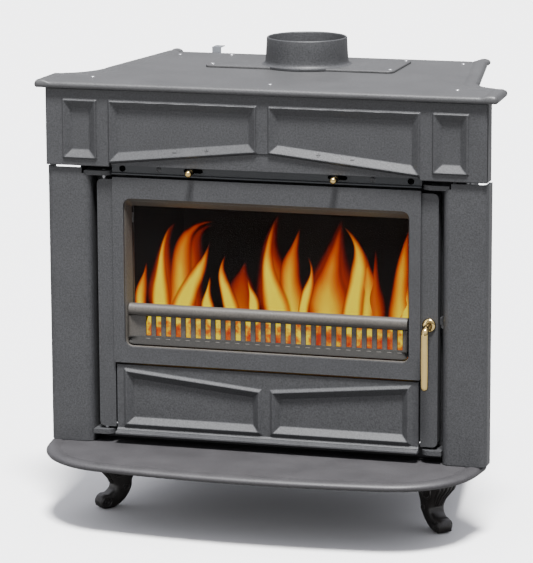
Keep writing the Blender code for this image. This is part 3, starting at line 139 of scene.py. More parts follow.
def new_group(name, inputs, outputs):
    """An empty shader node group with the named float inputs and the named outputs."""
    group = bpy.data.node_groups.new(name, "ShaderNodeTree")
    for label, value in inputs:
        socket = group.interface.new_socket(label, in_out="INPUT", socket_type="NodeSocketFloat")
        socket.default_value = value
    for label, kind in outputs:
        group.interface.new_socket(label, in_out="OUTPUT", socket_type=kind)
    entry = group.nodes.new("NodeGroupInput")
    leave = group.nodes.new("NodeGroupOutput")
    return group, entry, leave


def noise_at(tree, place, scale, detail, rough=0.5):
    """A noise texture of a scale per metre at a place socket; gives its value socket."""
    node = tree.nodes.new("ShaderNodeTexNoise")
    node.inputs["Scale"].default_value = scale
    node.inputs["Detail"].default_value = detail
    node.inputs["Roughness"].default_value = rough
    tree.links.new(place, node.inputs["Vector"])
    return node.outputs["Fac"]


def maths(tree, operation, *values):
    """A math node on sockets or numbers; gives its value socket."""
    node = tree.nodes.new("ShaderNodeMath")
    node.operation = operation
    for slot, value in zip(node.inputs, values):
        if isinstance(value, (int, float)):
            slot.default_value = value
        else:
            tree.links.new(value, slot)
    return node.outputs[0]


grain_group, grain_in, grain_out = new_group(
    "sand_cast_grain",
    [("Speckle", 0.35), ("Cloud", 0.2), ("Roughness", 0.5)],
    [("Shade", "NodeSocketFloat"), ("Roughness", "NodeSocketFloat"), ("Height", "NodeSocketFloat")],
)
grain_place = grain_group.nodes.new("ShaderNodeTexCoord").outputs["Object"]
fine = noise_at(grain_group, grain_place, 330.0, 3.0, 0.75)
pits = noise_at(grain_group, grain_place, 1100.0, 1.0)
cloud = noise_at(grain_group, grain_place, 14.0, 4.0)
cloud_off = maths(grain_group, "SUBTRACT", cloud, 0.5)
fine_off = maths(grain_group, "SUBTRACT", fine, 0.5)
fine_shift = maths(grain_group, "MULTIPLY", fine_off, grain_in.outputs["Speckle"])
cloud_shift = maths(grain_group, "MULTIPLY", cloud_off, grain_in.outputs["Cloud"])
shade = maths(grain_group, "ADD", maths(grain_group, "ADD", fine_shift, cloud_shift), 1.0)
grain_group.links.new(shade, grain_out.inputs["Shade"])
rough_shift = maths(grain_group, "MULTIPLY", cloud_off, 0.16)
rough_all = maths(grain_group, "ADD", rough_shift, grain_in.outputs["Roughness"])
grain_group.links.new(rough_all, grain_out.inputs["Roughness"])
height_all = maths(grain_group, "ADD", fine, maths(grain_group, "MULTIPLY", pits, 0.4))
grain_group.links.new(height_all, grain_out.inputs["Height"])


def cast_material(
    name, tone, speckle=0.9, cloudiness=0.35, roughness=0.5, metallic=0.0, relief=0.00022, sheen=0.5
):
    """A finish of a tone, with the sand-cast grain in its colour, roughness and surface."""
    material, tree, shader = new_material(name)
    grain = tree.nodes.new("ShaderNodeGroup")
    grain.node_tree = grain_group
    grain.inputs["Speckle"].default_value = speckle
    grain.inputs["Cloud"].default_value = cloudiness
    grain.inputs["Roughness"].default_value = roughness
    tint = tree.nodes.new("ShaderNodeVectorMath")
    tint.operation = "SCALE"
    tint.inputs[0].default_value = tone
    tree.links.new(grain.outputs["Shade"], tint.inputs["Scale"])
    tree.links.new(tint.outputs["Vector"], shader.inputs["Base Color"])
    tree.links.new(grain.outputs["Roughness"], shader.inputs["Roughness"])
    bump = tree.nodes.new("ShaderNodeBump")
    bump.inputs["Distance"].default_value = relief
    bump.inputs["Strength"].default_value = 1.0
    tree.links.new(grain.outputs["Height"], bump.inputs["Height"])
    tree.links.new(bump.outputs["Normal"], shader.inputs["Normal"])
    shader.inputs["Metallic"].default_value = metallic
    shader.inputs["Specular IOR Level"].default_value = sheen
    return material


iron = cast_material("stove_iron", (0.0335, 0.034, 0.036), speckle=2.4)
# The top and flue plates are the same painted iron as the rest, given a lighter tone as painted light for the
# high sun falling on these upward faces.
top_iron_painted_light = cast_material("top_iron_painted_light", (0.050, 0.050, 0.051), speckle=1.8, roughness=0.46)
hearth_iron = cast_material("hearth_iron", (0.0335, 0.032, 0.034), speckle=1.6, cloudiness=0.7)
dark_iron = cast_material(
    "foot_iron", (0.030, 0.027, 0.025), speckle=1.4, roughness=0.34, relief=0.0004, sheen=0.7
)
rail_paint = cast_material("rail_paint", (0.020, 0.0225, 0.026), speckle=0.4, roughness=0.4, relief=0.00012)
bezel_paint = cast_material("bezel_iron", (0.060, 0.054, 0.047), speckle=1.6, roughness=0.45)
sill_paint = cast_material("sill_iron", (0.013, 0.012, 0.0105), speckle=2.0, roughness=0.75, sheen=0.25)
soot = cast_material("sooty_iron", (0.0022, 0.0020, 0.0018), roughness=0.95, relief=0.0006, sheen=0.05)

for name in nodes:
    nodes[name].data.materials.clear()
    nodes[name].data.materials.append(iron)


# ---------------------------------------------------------------- top plate
# A casting with a bullnose front edge and a broad rolled band round its ends, coves and sides.

def add_piece(name, points, faces, material, body, replaced=(), angle=40):
    """Puts a mesh in the scene with its faces pointing out, riding on a body and standing for CAD nodes."""
    mesh = bpy.data.meshes.new(name)
    mesh.from_pydata([tuple(p) for p in np.asarray(points, float).reshape(-1, 3)], [], faces)
    build = bmesh.new()
    build.from_mesh(mesh)
    bmesh.ops.remove_doubles(build, verts=build.verts, dist=1e-7)
    bmesh.ops.recalc_face_normals(build, faces=build.faces)
    build.to_mesh(mesh)
    build.free()
    mesh.materials.append(material)
    mesh.shade_smooth()
    mesh.set_sharp_from_angle(angle=math.radians(angle))
    piece = put(name, mesh)
    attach(piece, body)
    if replaced:
        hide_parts(*replaced)
    return piece


def ring_faces(count, size, loop=False, start=0):
    """Faces between closed rings of points, one ring after another, with end caps unless they loop."""
    faces = []
    for i in range(count if loop else count - 1):
        low, high = start + i * size, start + ((i + 1) % count) * size
        for j in range(size):
            k = (j + 1) % size
            faces.append((low + j, low + k, high + k, high + j))
    if not loop:
        faces.append(tuple(range(start, start + size)))
        last = start + (count - 1) * size
        faces.append(tuple(range(last, last + size)))
    return faces


def joined(parts):
    """Points and faces of several separate sets of rings, as one mesh."""
    points, faces, count = [], [], 0
    for part in parts:
        part = np.asarray(part, float)
        points.append(part.reshape(-1, 3))
        faces += ring_faces(part.shape[0], part.shape[1], start=count)
        count += len(points[-1])
    return np.vstack(points), faces


def swept(name, rings, material, body, replaced=(), loop=False, angle=40):
    """A piece through closed rings of equal size."""
    rings = np.asarray(rings, float)
    faces = ring_faces(rings.shape[0], rings.shape[1], loop)
    return add_piece(name, rings, faces, material, body, replaced, angle)


top_low, top_high = (corner.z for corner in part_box("top_plate"))
top_front, top_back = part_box("top_plate")[0].y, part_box("top_plate")[1].y
EAR, EAR_BACK, NECK, COVE_END, HORN = 0.429, -0.057, 0.355, 0.033, 0.3135
REAR_EDGE = 0.291
HORN_FOOT = 0.2835


def top_half(y):
    """Half the top plate's width at a depth: a round corner, the ear, an elliptic cove, a straight taper."""
    corner = 0.009
    into = np.clip(y - top_front, 0, corner)
    round_corner = np.sqrt(np.maximum(corner**2 - (corner - into) ** 2, 0))
    draft = 0.004 * np.clip((y - top_front) / (EAR_BACK - top_front), 0, 1)
    half = EAR - corner + round_corner - draft
    share = np.clip((COVE_END - y) / (COVE_END - EAR_BACK), 0, 1)
    cove = (EAR - 0.004) - (EAR - 0.004 - NECK) * np.sqrt(1 - share**2)
    taper = NECK + (HORN - NECK) * np.clip((y - COVE_END) / (REAR_EDGE - COVE_END), 0, 1)
    return np.where(y < EAR_BACK, half, np.where(y < COVE_END, cove, taper))


edge_line = np.array([(top_half(np.array(y)), y) for y in np.linspace(top_front + 0.009, 0.322, 160)])
ear_line = np.array([(x, EAR_BACK) for x in np.linspace(EAR - 0.004, EAR - 0.02, 4)])
edge_line = np.vstack([edge_line, ear_line])


def side_distance(x, y):
    """Distance from points to the plate's side edge, found on a fine polyline of it."""
    gap = np.hypot(np.abs(x)[..., None] - edge_line[:, 0], y[..., None] - edge_line[:, 1])
    return gap.min(-1)


def top_heights(x, y, side):
    """Upper and lower surface of the plate: a rolled band 26 mm wide and a round edge."""
    band = np.clip(side / 0.026, 0, 1)
    drop = -0.0030 * np.sin(np.pi * band) ** 0.8 + 0.0008 * np.exp(-(((side - 0.0265) / 0.0020) ** 2))
    edge = np.minimum(side, np.maximum(y - top_front, 0) + 1e-9)
    nose = np.sqrt(np.clip(1 - (1 - np.clip(edge / 0.0062, 0, 1)) ** 2, 0, 1))
    middle = top_low + 0.0055
    lip = 0.0009 * np.exp(-(((y - top_front - 0.0125) / 0.0018) ** 2)) * (side > 0.02)
    upper = middle + (top_high - 0.0001 - middle - drop) * nose - lip
    lower = middle - (middle - top_low) * np.sqrt(np.clip(1 - (1 - np.clip(edge / 0.004, 0, 1)) ** 2, 0, 1))
    return upper, lower


steps = np.array(
    [0, 0.0002, 0.0007, 0.0015, 0.0026, 0.004, 0.006, 0.009, 0.0125, 0.016, 0.02, 0.024, 0.027, 0.03]
)
stations = np.concatenate(
    [
        top_front + steps,
        np.linspace(-0.12, EAR_BACK - 0.002, 12),
        EAR_BACK + np.array([0.0, 0.0004, 0.0012, 0.0025, 0.0045, 0.0075, 0.0115]),
        np.linspace(-0.04, COVE_END, 14),
        np.linspace(0.045, 0.285, 26),
        np.array([0.288, 0.29, 0.2908, REAR_EDGE]),
    ]
)
rings = []
for y in stations:
    half = float(top_half(np.array(y)))
    near = half - steps
    far = np.linspace(half - steps[-1], 0, 12)[1:]
    x = np.concatenate([near, far, -far[-2::-1], -near[::-1]])
    depth = np.full_like(x, y)
    side = side_distance(x, depth)
    side = np.minimum(side, half - np.abs(x))
    upper, lower = top_heights(x, depth, side)
    rear = np.clip((REAR_EDGE - y) / 0.004, 0, 1)
    nose = math.sqrt(max(1 - (1 - rear) ** 2, 0))
    upper = top_low + 0.0055 + (upper - top_low - 0.0055) * (0.35 + 0.65 * nose)
    rings.append(np.vstack([np.stack([x, depth, upper], -1), np.stack([x, depth, lower], -1)[::-1]]))
parts = [rings]
for side in (-1, 1):
    horn = []
    for t in np.linspace(0, 1, 15):
        y = HORN_FOOT + (top_back - HORN_FOOT) * t
        outer = HORN + 0.0022 * t
        width = 0.030 - 0.006 * t**0.6
        shrink = math.sqrt(max(1 - max((t - 0.72) / 0.28, 0) ** 2, 0.0004))
        centre = outer - width / 2
        loop = []
        for a in np.linspace(0, 2 * math.pi, 20, endpoint=False):
            x = side * (centre + 0.5 * width * shrink * math.cos(a))
            loop.append((x, y, top_low + 0.0074 + 0.0072 * shrink * math.sin(a)))
        horn.append(loop)
    parts.append(horn)
# The rolled top plate takes the lighter tone, painted light for the sun on its upper face.
top_piece = add_piece("rolled_top_plate", *joined(parts), top_iron_painted_light, "stove", ("top_plate",), 50)


# ---------------------------------------------------------------- flue collar
# A short spigot on a thin plate, cast in one, slightly wider at its foot with a small fillet.
# The plate's hidden underside is left open.

collar_low, collar_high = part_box("flue_collar")
flue_y = 0.155
seat, rim = collar_low.z, collar_high.z
profile = np.array(
    [
        (0.0705, seat + 0.0006),
        (0.084, seat + 0.0006),
        (0.084, seat + 0.0040),
        (0.0825, seat + 0.0046),
        (0.0800, seat + 0.0058),
        (0.0782, seat + 0.0080),
        (0.0772, seat + 0.0120),
        (0.0768, seat + 0.0200),
        (0.0758, seat + 0.0360),
        (0.0750, rim - 0.0022),
        (0.0746, rim - 0.0008),
        (0.0736, rim),
        (0.0722, rim),
        (0.0710, rim - 0.0008),
        (0.0705, rim - 0.0025),
    ]
)
rings = []
for turn in np.linspace(0, 2 * np.pi, 120, endpoint=False):
    rings.append(
        np.column_stack([profile[:, 0] * np.cos(turn), flue_y + profile[:, 0] * np.sin(turn), profile[:, 1]])
    )
collar = swept("flue_spigot", rings, iron, "stove", ("flue_collar",), loop=True)


def rounded_outline(left, low, right, high, radius, steps=6):
    """Points round a rectangle with round corners, counter-clockwise."""
    points = []
    for cx, cy, start in (
        (right - radius, low + radius, -90),
        (right - radius, high - radius, 0),
        (left + radius, high - radius, 90),
        (left + radius, low + radius, 180),
    ):
        for angle in np.radians(np.linspace(start, start + 90, steps + 1)):
            points.append((cx + radius * math.cos(angle), cy + radius * math.sin(angle)))
    return np.array(points)


plate_rings = []
for inset, height in ((0.0006, 0.0), (0, 0.0006), (0, 0.0030), (0.0005, 0.0037), (0.0014, 0.0040)):
    outline = rounded_outline(-0.18 + inset, 0.090 + inset, 0.18 - inset, 0.246 - inset, 0.012)
    plate_rings.append(np.column_stack([outline, np.full(len(outline), seat + height)]))
faces = ring_faces(len(plate_rings), len(plate_rings[0]))
faces.pop(-2)
# The flue plate takes the same lighter tone, painted light for the sun on its upper face.
flue_plate = add_piece("flue_plate", plate_rings, faces, top_iron_painted_light, "stove")


# ---------------------------------------------------------------- frieze and ash flap
# Castings with framed panels: a ridge round each panel, a wide bevel in to a sunk field.

def panel_depth(x, z, outline):
    """How far each point lies inside a convex panel outline, negative outside."""
    inside = np.full(np.shape(x), 9.0)
    for i in range(len(outline)):
        (x0, z0), (x1, z1) = outline[i - 1], outline[i]
        length = math.hypot(x1 - x0, z1 - z0)
        inside = np.minimum(inside, ((x1 - x0) * (z - z0) - (z1 - z0) * (x - x0)) / length)
    return inside


def soft(value, start, end):
    """A smooth rise from 0 at start to 1 at end."""
    t = np.clip((value - start) / (end - start), 0, 1)
    return t * t * (3 - 2 * t)


def moulding(inside, slope, bevel, rise=0.004, sink=0.0055):
    """Height of a panel's moulding over the outer field, by depth inside the ridge."""
    up = rise * np.clip((inside + slope) / slope, 0, 1)
    ramp = np.clip((inside - 0.0006) / bevel, 0, 1)
    height = up - (rise + sink) * ramp
    return np.where(inside < -slope, 0.0, height)


def smoothed(values, passes):
    """Averages each value with its neighbours along both grid directions."""
    for _ in range(passes):
        padded = np.pad(values, 1, mode="edge")
        beside = padded[:-2, 1:-1] + padded[2:, 1:-1] + padded[1:-1, :-2] + padded[1:-1, 2:]
        values = (values * 4 + beside) / 8
    return values


def relief_plate(name, x, low, high, rows, height, face, rear, material, body, replaced):
    """A plate whose front is a height over a grid, closed behind through rear (y, rise) points."""
    share = np.linspace(0, 1, rows)
    z = low[:, None] + (high - low)[:, None] * share
    grid_x = np.broadcast_to(x[:, None], z.shape)
    relief = smoothed(height(grid_x, z), 1)
    round_edge = 0.0012
    edge = np.minimum.reduce([z - low[:, None], high - z, np.abs(grid_x - x[0]), np.abs(x[-1] - grid_x)])
    fall = round_edge * (1 - np.sqrt(np.clip(1 - (1 - np.clip(edge / round_edge, 0, 1)) ** 2, 0, 1)))
    front = np.stack([grid_x, face - relief + fall, z], -1)
    behind = [np.stack([x, np.full_like(x, rear[0][0]), np.full_like(x, high)], -1)[:, None]]
    for y, rise in rear:
        behind.append(np.stack([x, np.full_like(x, y), low + rise], -1)[:, None])
    rings = np.concatenate([front, *behind], 1)
    return swept(name, rings, material, body, replaced, angle=48)


frieze_low, frieze_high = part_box("frieze")
field_y = frieze_low.y + 0.004
high = frieze_high.z
base = frieze_low.z
large = [(0.0125, base + 0.0384), (0.287, base + 0.0101), (0.287, high - 0.0214), (0.0125, high - 0.0214)]
small = [(0.3129, base + 0.015), (0.3743, base + 0.015), (0.3743, high - 0.0214), (0.3129, high - 0.0214)]


def frieze_height(x, z):
    """Mouldings of the four panels, mirrored about the middle."""
    total = np.zeros(np.shape(x))
    for outline in (large, small):
        inside = panel_depth(np.abs(x), z, outline)
        total = np.where(inside > -0.004, moulding(inside, 0.0025, 0.0142), total)
    return total


half = frieze_high.x
x = np.linspace(-half, half, 690)
PEAK, PEAK_HALF, GABLE_FOOT, GABLE_HALF = 0.0348, 0.0125, 0.0063, 0.289
gable = base + PEAK - (PEAK - GABLE_FOOT) * (np.abs(x) - PEAK_HALF) / (GABLE_HALF - PEAK_HALF)
low = np.where(np.abs(x) < PEAK_HALF, base + PEAK, np.where(np.abs(x) < GABLE_HALF, gable, base))
frieze_rear = [(field_y + 0.0073, 0)]
frieze = relief_plate(
    "panelled_frieze", x, low, high, 128, frieze_height, field_y, frieze_rear, iron, "stove", ("frieze",)
)
for side in (-1, 1):
    loop = rounded_outline(half - 0.006, field_y + 0.001, half, frieze_high.y, 0.0012, 3)
    rings = [np.column_stack([side * loop[:, 0], loop[:, 1], np.full(len(loop), z)]) for z in (base, high)]
    swept(f"frieze_return_{'left' if side < 0 else 'right'}", rings, iron, "stove")

# The raised marks are the frieze's own iron; their darker tone is painted shade.
mark_painted_shade = cast_material("mark_painted_shade_look", (0.012, 0.012, 0.013), speckle=0.5, roughness=0.6)


def bevel_mark(name, x, z, arms):
    """A small raised cross or dash lying on the frieze's lower bevels, coloured darker than the iron as
    painted shade.
    """
    parts = []
    for wide, tall in arms:
        corners = [(x - wide, z - tall), (x + wide, z - tall), (x + wide, z + tall), (x - wide, z + tall)]
        rise = [float(frieze_height(np.array([[px]]), np.array([[pz]]))[0, 0]) for px, pz in corners]
        part = []
        for lift in (0.0008, -0.0003):
            part.append([(px, field_y - up - lift, pz) for (px, pz), up in zip(corners, rise)])
        parts.append(part)
    return add_piece(name, *joined(parts), mark_painted_shade, "stove")


dash, upright = (0.0038, 0.0007), (0.0007, 0.0036)
bevel_mark("minus_left", -0.1646, 0.6836, [dash])
bevel_mark("plus_left", -0.1045, 0.6893, [dash, upright])
bevel_mark("plus_right", 0.1028, 0.6902, [dash, upright])
bevel_mark("minus_right", 0.1654, 0.6844, [dash])

flap_low, flap_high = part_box("ash_flap")
half = flap_high.x
flap_field = -0.132
flap_panel = [
    (0.013, flap_low.z + 0.0183),
    (half - 0.0188, flap_low.z + 0.0183),
    (half - 0.0188, flap_high.z - 0.0126),
    (0.013, flap_high.z - 0.037),
]


def flap_height(x, z):
    """Mouldings of the two trapezoid panels and the double lip along the foot."""
    inside = panel_depth(np.abs(x), z, flap_panel)
    total = np.where(inside > -0.007, moulding(inside, 0.006, 0.0123), 0.0)
    up = z - flap_low.z
    lip = 0.0095 * soft(up, 0.0062, 0.0042) + 0.0045 * soft(up, 0.0102, 0.0085)
    return total + lip


x = np.linspace(-half, half, 580)
low = np.full_like(x, flap_low.z)
flap_rear = [(-0.1205, 0.0115), (-0.1285, 0.0110), (-0.1285, 0)]
flap = relief_plate(
    "panelled_flap", x, low, flap_high.z, 140, flap_height, flap_field, flap_rear, iron, "flap", ("ash_flap",)
)


# ---------------------------------------------------------------- columns
# Plain hollow castings, their inner edge a wide round and their outer a small one.

def bend(cx, cy, radius, start, end, steps):
    """Points on an arc, in degrees."""
    angles = np.radians(np.linspace(start, end, steps))
    return np.column_stack([cx + radius * np.cos(angles), cy + radius * np.sin(angles)])


for label, side in (("left", -1), ("right", 1)):
    low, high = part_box(f"column_{label}")
    inner, outer = sorted((abs(low.x), abs(high.x)))
    front, rear = low.y, high.y
    outline = np.vstack(
        [
            [(inner, rear)],
            bend(inner + 0.015, front + 0.015, 0.015, 180, 270, 14),
            bend(outer - 0.012, front + 0.012, 0.012, 270, 360, 12),
            [(outer, front + 0.036), (outer - 0.006, front + 0.036)],
            bend(outer - 0.012, front + 0.012, 0.006, 360, 270, 8),
            bend(inner + 0.015, front + 0.015, 0.009, 270, 180, 8),
            [(inner + 0.006, rear)],
        ]
    )
    rings = []
    shaft = np.linspace(low.z + 0.01, high.z - 0.0105, 24)
    for z in (low.z, low.z + 0.0008, *shaft, high.z - 0.0101):
        rings.append(np.column_stack([side * outline[:, 0], outline[:, 1], np.full(len(outline), z)]))
    lug = outline.copy()
    lug[:, 0] = np.maximum(lug[:, 0], inner + 0.0155)
    for z in (high.z - 0.0100, high.z - 0.0008, high.z):
        rings.append(np.column_stack([side * lug[:, 0], lug[:, 1], np.full(len(lug), z)]))
    column = swept(f"round_column_{label}", rings, iron, "stove", (f"column_{label}",))


# ---------------------------------------------------------------- hearth
# A bowed plate with a rolled edge and a shallow rim line round its flat top.

hearth_low, hearth_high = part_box("hearth_plate")
front, rear = hearth_low.y, hearth_high.y
tip, turn, line = np.array([0.0, front]), 0.0, []
for radius, end, steps_here in ((1.880, 8.1, 14), (0.160, 80, 34), (0.500, 90, 10)):
    swing = math.radians(turn)
    centre = tip + radius * np.array([-math.sin(swing), math.cos(swing)])
    part = bend(centre[0], centre[1], radius, turn - 90, end - 90, steps_here)
    line.append(part[1:])
    tip, turn = part[-1], end
line = np.vstack(line)
hearth_half = (hearth_high.x - hearth_low.x) / 2
line[:, 0] *= hearth_half / line[-1, 0]
line = line[line[:, 1] < rear - 0.040]
right = np.vstack([line, bend(hearth_half - 0.032, rear - 0.032, 0.032, 0, 90, 8)])
outline = np.vstack([[(0, front)], right, np.column_stack([-right[::-1, 0], right[::-1, 1]])])
ahead = np.roll(outline, -1, 0) - np.roll(outline, 1, 0)
ahead /= np.linalg.norm(ahead, axis=1)[:, None]
inward = np.column_stack([-ahead[:, 1], ahead[:, 0]])
outline = outline + [(hearth_high.x + hearth_low.x) / 2, 0]
rings = []
z0, z1 = hearth_low.z, hearth_high.z
for inset, z in (
    (0.0220, z0 + 0.0020),
    (0.0070, z0),
    (0.0042, z0 + 0.0004),
    (0.0018, z0 + 0.0018),
    (0.0005, z0 + 0.0038),
    (0.0000, z0 + 0.0060),
    (0.0006, z0 + 0.0084),
    (0.0024, z0 + 0.0106),
    (0.0056, z0 + 0.0124),
    (0.0100, z0 + 0.0136),
    (0.0150, z0 + 0.0140),
    (0.0200, z0 + 0.0137),
    (0.0240, z0 + 0.0128),
    (0.0262, z0 + 0.0120),
    (0.0282, z0 + 0.0122),
    (0.0310, z0 + 0.0130),
):
    rings.append(np.column_stack([outline + inward * inset, np.full(len(outline), z)]))
hearth = swept("rolled_hearth", rings, hearth_iron, "stove", ("hearth_plate",))


# ---------------------------------------------------------------- feet
# Cast scroll feet, near black: a swelling knee under a leaf, a narrow ankle and a rolled toe.
# The outlines here are in millimetres: outwards along the stove's corner, then upwards.

foot_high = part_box("foot_front_left")[1].z
FOOT_TALL = 122.7
TOE_WIDE = 26
KNEE_EXTRA = 28
BACK = [(-56, 122.4), (-57, 106), (-57, 92), (-54.5, 74), (-48.5, 60), (-44, 50), (-44.5, 41), (-40.5, 29.5)]
BACK += [(-33.5, 18), (-24.5, 9.5), (-15, 3.4), (-6, 0.4), (4, 0.0), (12, 0.4), (18, 2.6)]
SHIN = [(36, 122.4), (36, 108), (34, 96), (20.5, 80), (6.6, 66.3), (-4.8, 51.7), (-7.8, 42.5), (-5, 34)]
SHIN += [(4.7, 27.4), (13, 28), (20, 24.3), (24, 17), (24, 12), (22.6, 8), (20.4, 4.6)]


def foot_rings():
    """Rounded-square rings between the calf line and the shin line, narrowing evenly to the toe."""
    knots = np.linspace(0, 1, len(BACK))
    fine_t = np.linspace(0, 1, 60)
    back = np.column_stack([np.interp(fine_t, knots, np.array(BACK)[:, k]) for k in (0, 1)])
    shin = np.column_stack([np.interp(fine_t, knots, np.array(SHIN)[:, k]) for k in (0, 1)])
    for line_here in (back, shin):
        line_here[1:-1] = (line_here[:-2] + 2 * line_here[1:-1] + line_here[2:]) / 4
    around = np.linspace(0, 2 * np.pi, 32, endpoint=False)
    rings = []
    for b, f in zip(back, shin):
        middle, reach = (b + f) / 2, (f - b) / 2
        half = 0.5 * (TOE_WIDE + KNEE_EXTRA * middle[1] / FOOT_TALL)
        cosine, sine = np.cos(around), np.sin(around)
        c = np.sign(cosine) * np.abs(cosine) ** 0.5
        w = np.sign(sine) * np.abs(sine) ** 0.5
        groove = 1 - 0.05 * np.cos(7 * around) ** 2 * np.clip((middle[1] - 40) / 40, 0, 1) * (cosine > 0)
        out, up = middle[0] + reach[0] * c * groove, middle[1] + reach[1] * c * groove
        rings.append(np.column_stack([out, half * w * groove, up]))
    return np.array(rings) / 1000


def bead_rings(path, radii):
    """Round rings along a path of points, square to it."""
    path = np.array(path, float)
    ahead = np.gradient(path, axis=0)
    ahead /= np.linalg.norm(ahead, axis=1)[:, None]
    rings = []
    for point, tangent, radius in zip(path, ahead, radii):
        other = np.array([0, 1, 0]) if abs(tangent[1]) < 0.9 else np.array([0, 0, 1])
        first = np.cross(tangent, other)
        first /= np.linalg.norm(first)
        second = np.cross(tangent, first)
        around = np.linspace(0, 2 * np.pi, 10, endpoint=False)
        rings.append(point + radius * (np.cos(around)[:, None] * first + np.sin(around)[:, None] * second))
    return np.array(rings) / 1000


def spiral(cs, cz, outer, inner, turns_count, start, side):
    """A flat coil in the foot's side plane, its radius closing evenly."""
    share = np.linspace(0, 1, 40)
    radius = outer + (inner - outer) * share
    angle = np.radians(start) + share * turns_count * 2 * np.pi
    z = cz + radius * np.sin(angle)
    half = 0.5 * (TOE_WIDE + KNEE_EXTRA * z / FOOT_TALL) - 0.6
    return np.column_stack([cs + radius * np.cos(angle), side * half, z]), 2.0 - 0.9 * share


parts = [foot_rings()]
for side in (-1, 1):
    path, radii = spiral(10, 14.2, 11.6, 2.0, 1.7, 150, side)
    parts.append(bead_rings(path, radii))
    path, radii = spiral(-16, 76, 19, 4.0, -1.4, 70, side)
    parts.append(bead_rings(path, radii * 1.3))
    path, radii = spiral(-30, 38, 8, 2.0, 1.2, 20, side)
    parts.append(bead_rings(path, radii))
for spread in (-1.0, -0.5, 0.0, 0.5, 1.0):
    share = np.linspace(0, 1, 24)
    vein_knots = [0, 0.35, 0.6, 0.85, 1]
    s_line = np.interp(share, vein_knots, [34, 24, 9, -2, -5]) - 1.2 * abs(spread)
    z_line = np.interp(share, vein_knots, [112, 84, 68, 54, 46])
    vein = np.column_stack([s_line, spread * (20 - 13 * share), z_line])
    parts.append(bead_rings(vein, 3.4 * (1 - 0.6 * share) * (1 - 0.2 * abs(spread))))
points, faces = joined(parts)
points[:, 2] = np.clip(points[:, 2], 0, foot_high)
for end, turn_front in (("front", 315), ("rear", 45)):
    for label, side in (("left", -1), ("right", 1)):
        low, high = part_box(f"foot_{end}_{label}")
        angle = math.radians(turn_front if side > 0 else 540 - turn_front)
        c, w = math.cos(angle), math.sin(angle)
        spun = points @ np.array([[c, w, 0], [-w, c, 0], [0, 0, 1]])
        shift = (np.array(low + high) - spun.min(0) - spun.max(0)) / 2
        shift[2] = 0
        name = f"scroll_foot_{end}_{label}"
        foot = add_piece(name, spun + shift, faces, dark_iron, "stove", (f"foot_{end}_{label}",), 60)


# ---------------------------------------------------------------- window bezel and fender
# Heat-toned castings: a flared frame behind the door's opening, a half-round rail and a slotted wall.

def rectangle_ring(half, low, high, radius, y):
    """A round-cornered rectangle as a ring of points at a depth."""
    outline = rounded_outline(-half, low, half, high, radius, 8)
    return np.column_stack([outline[:, 0], np.full(len(outline), y), outline[:, 1]])


bezel_rings = [
    rectangle_ring(0.2745, 0.3105, 0.6015, 0.0190, -0.1296),
    rectangle_ring(0.2665, 0.3183, 0.5936, 0.0135, -0.1299),
    rectangle_ring(0.2655, 0.3192, 0.5920, 0.0125, -0.1285),
    rectangle_ring(0.2640, 0.3200, 0.5880, 0.0100, -0.1240),
    rectangle_ring(0.2618, 0.3207, 0.5820, 0.0060, -0.1170),
    rectangle_ring(0.2596, 0.3215, 0.5768, 0.0030, -0.1105),
    rectangle_ring(0.2592, 0.3218, 0.5762, 0.0020, -0.1086),
    rectangle_ring(0.2632, 0.3180, 0.5802, 0.0040, -0.1086),
    rectangle_ring(0.2680, 0.3150, 0.5880, 0.0090, -0.1247),
    rectangle_ring(0.2745, 0.3105, 0.6015, 0.0190, -0.1247),
]
bezel = swept("flared_bezel", bezel_rings, bezel_paint, "door", ("window_bezel",), loop=True)

fender_low, fender_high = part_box("fender")
half = fender_high.x + 0.0028
rail_high = fender_high.z
rail_z, rail_r = rail_high - 0.011, 0.011
wall_y, wall_back = -0.1175, -0.1132
SLOTS = 26
pitch = (0.267 - 0.021) * 2 / SLOTS
first_slot = pitch / 2 - (SLOTS - 1) / 2 * pitch


def flare(x):
    """How far the wall curls forward near its ends, a concave quarter arc."""
    over = np.clip((np.abs(x) - (half - 0.022)) / 0.022, 0, 1)
    return 0.0125 * (1 - np.sqrt(np.clip(1 - over**2, 0, 1)))


near_end = np.linspace(half - 0.03, half, 12)
stations = np.concatenate([-near_end[::-1], np.linspace(-half + 0.035, half - 0.035, 30), near_end])
section = [(wall_back, rail_high - 0.0006), (-0.1195, rail_high)]
for a in np.linspace(0.15, math.pi - 0.12, 16):
    section.append((-0.1195 - 0.0095 * math.sin(a), rail_z + rail_r * math.cos(a)))
section += [(-0.1190, rail_high - 0.0222), (wall_y, rail_high - 0.0235), (wall_back, rail_high - 0.0235)]
rings = [[(x, y, z) for y, z in section] for x in stations]
rail_piece = swept("fender_rail", rings, bezel_paint, "door", ("fender",))

slot_low, slot_high = fender_low.z + 0.0145, rail_high - 0.0245
rings = []
for x in stations:
    forward = float(flare(x))
    over = min(max(abs(x) - (half - 0.012), 0) / 0.012, 1)
    foot_z = fender_low.z + 0.0035 * (1 - math.sqrt(1 - over**2))
    rings.append(
        [
            (x, wall_back, foot_z + 0.0006),
            (x, wall_back, slot_low),
            (x, wall_y - forward - 0.0004, slot_low),
            (x, wall_y - forward - 0.0012, slot_low - 0.0006),
            (x, wall_y - forward - 0.0016, slot_low - 0.0020),
            (x, min(-0.1205, wall_y - forward) - 0.0005, max(foot_z + 0.0100, slot_low - 0.0040)),
            (x, -0.1236, max(foot_z + 0.0046, slot_low - 0.0095)),
            (x, -0.1272, foot_z + 0.0016),
            (x, -0.1276, foot_z + 0.0002),
        ]
    )
sill = swept("fender_sill", rings, sill_paint, "door")

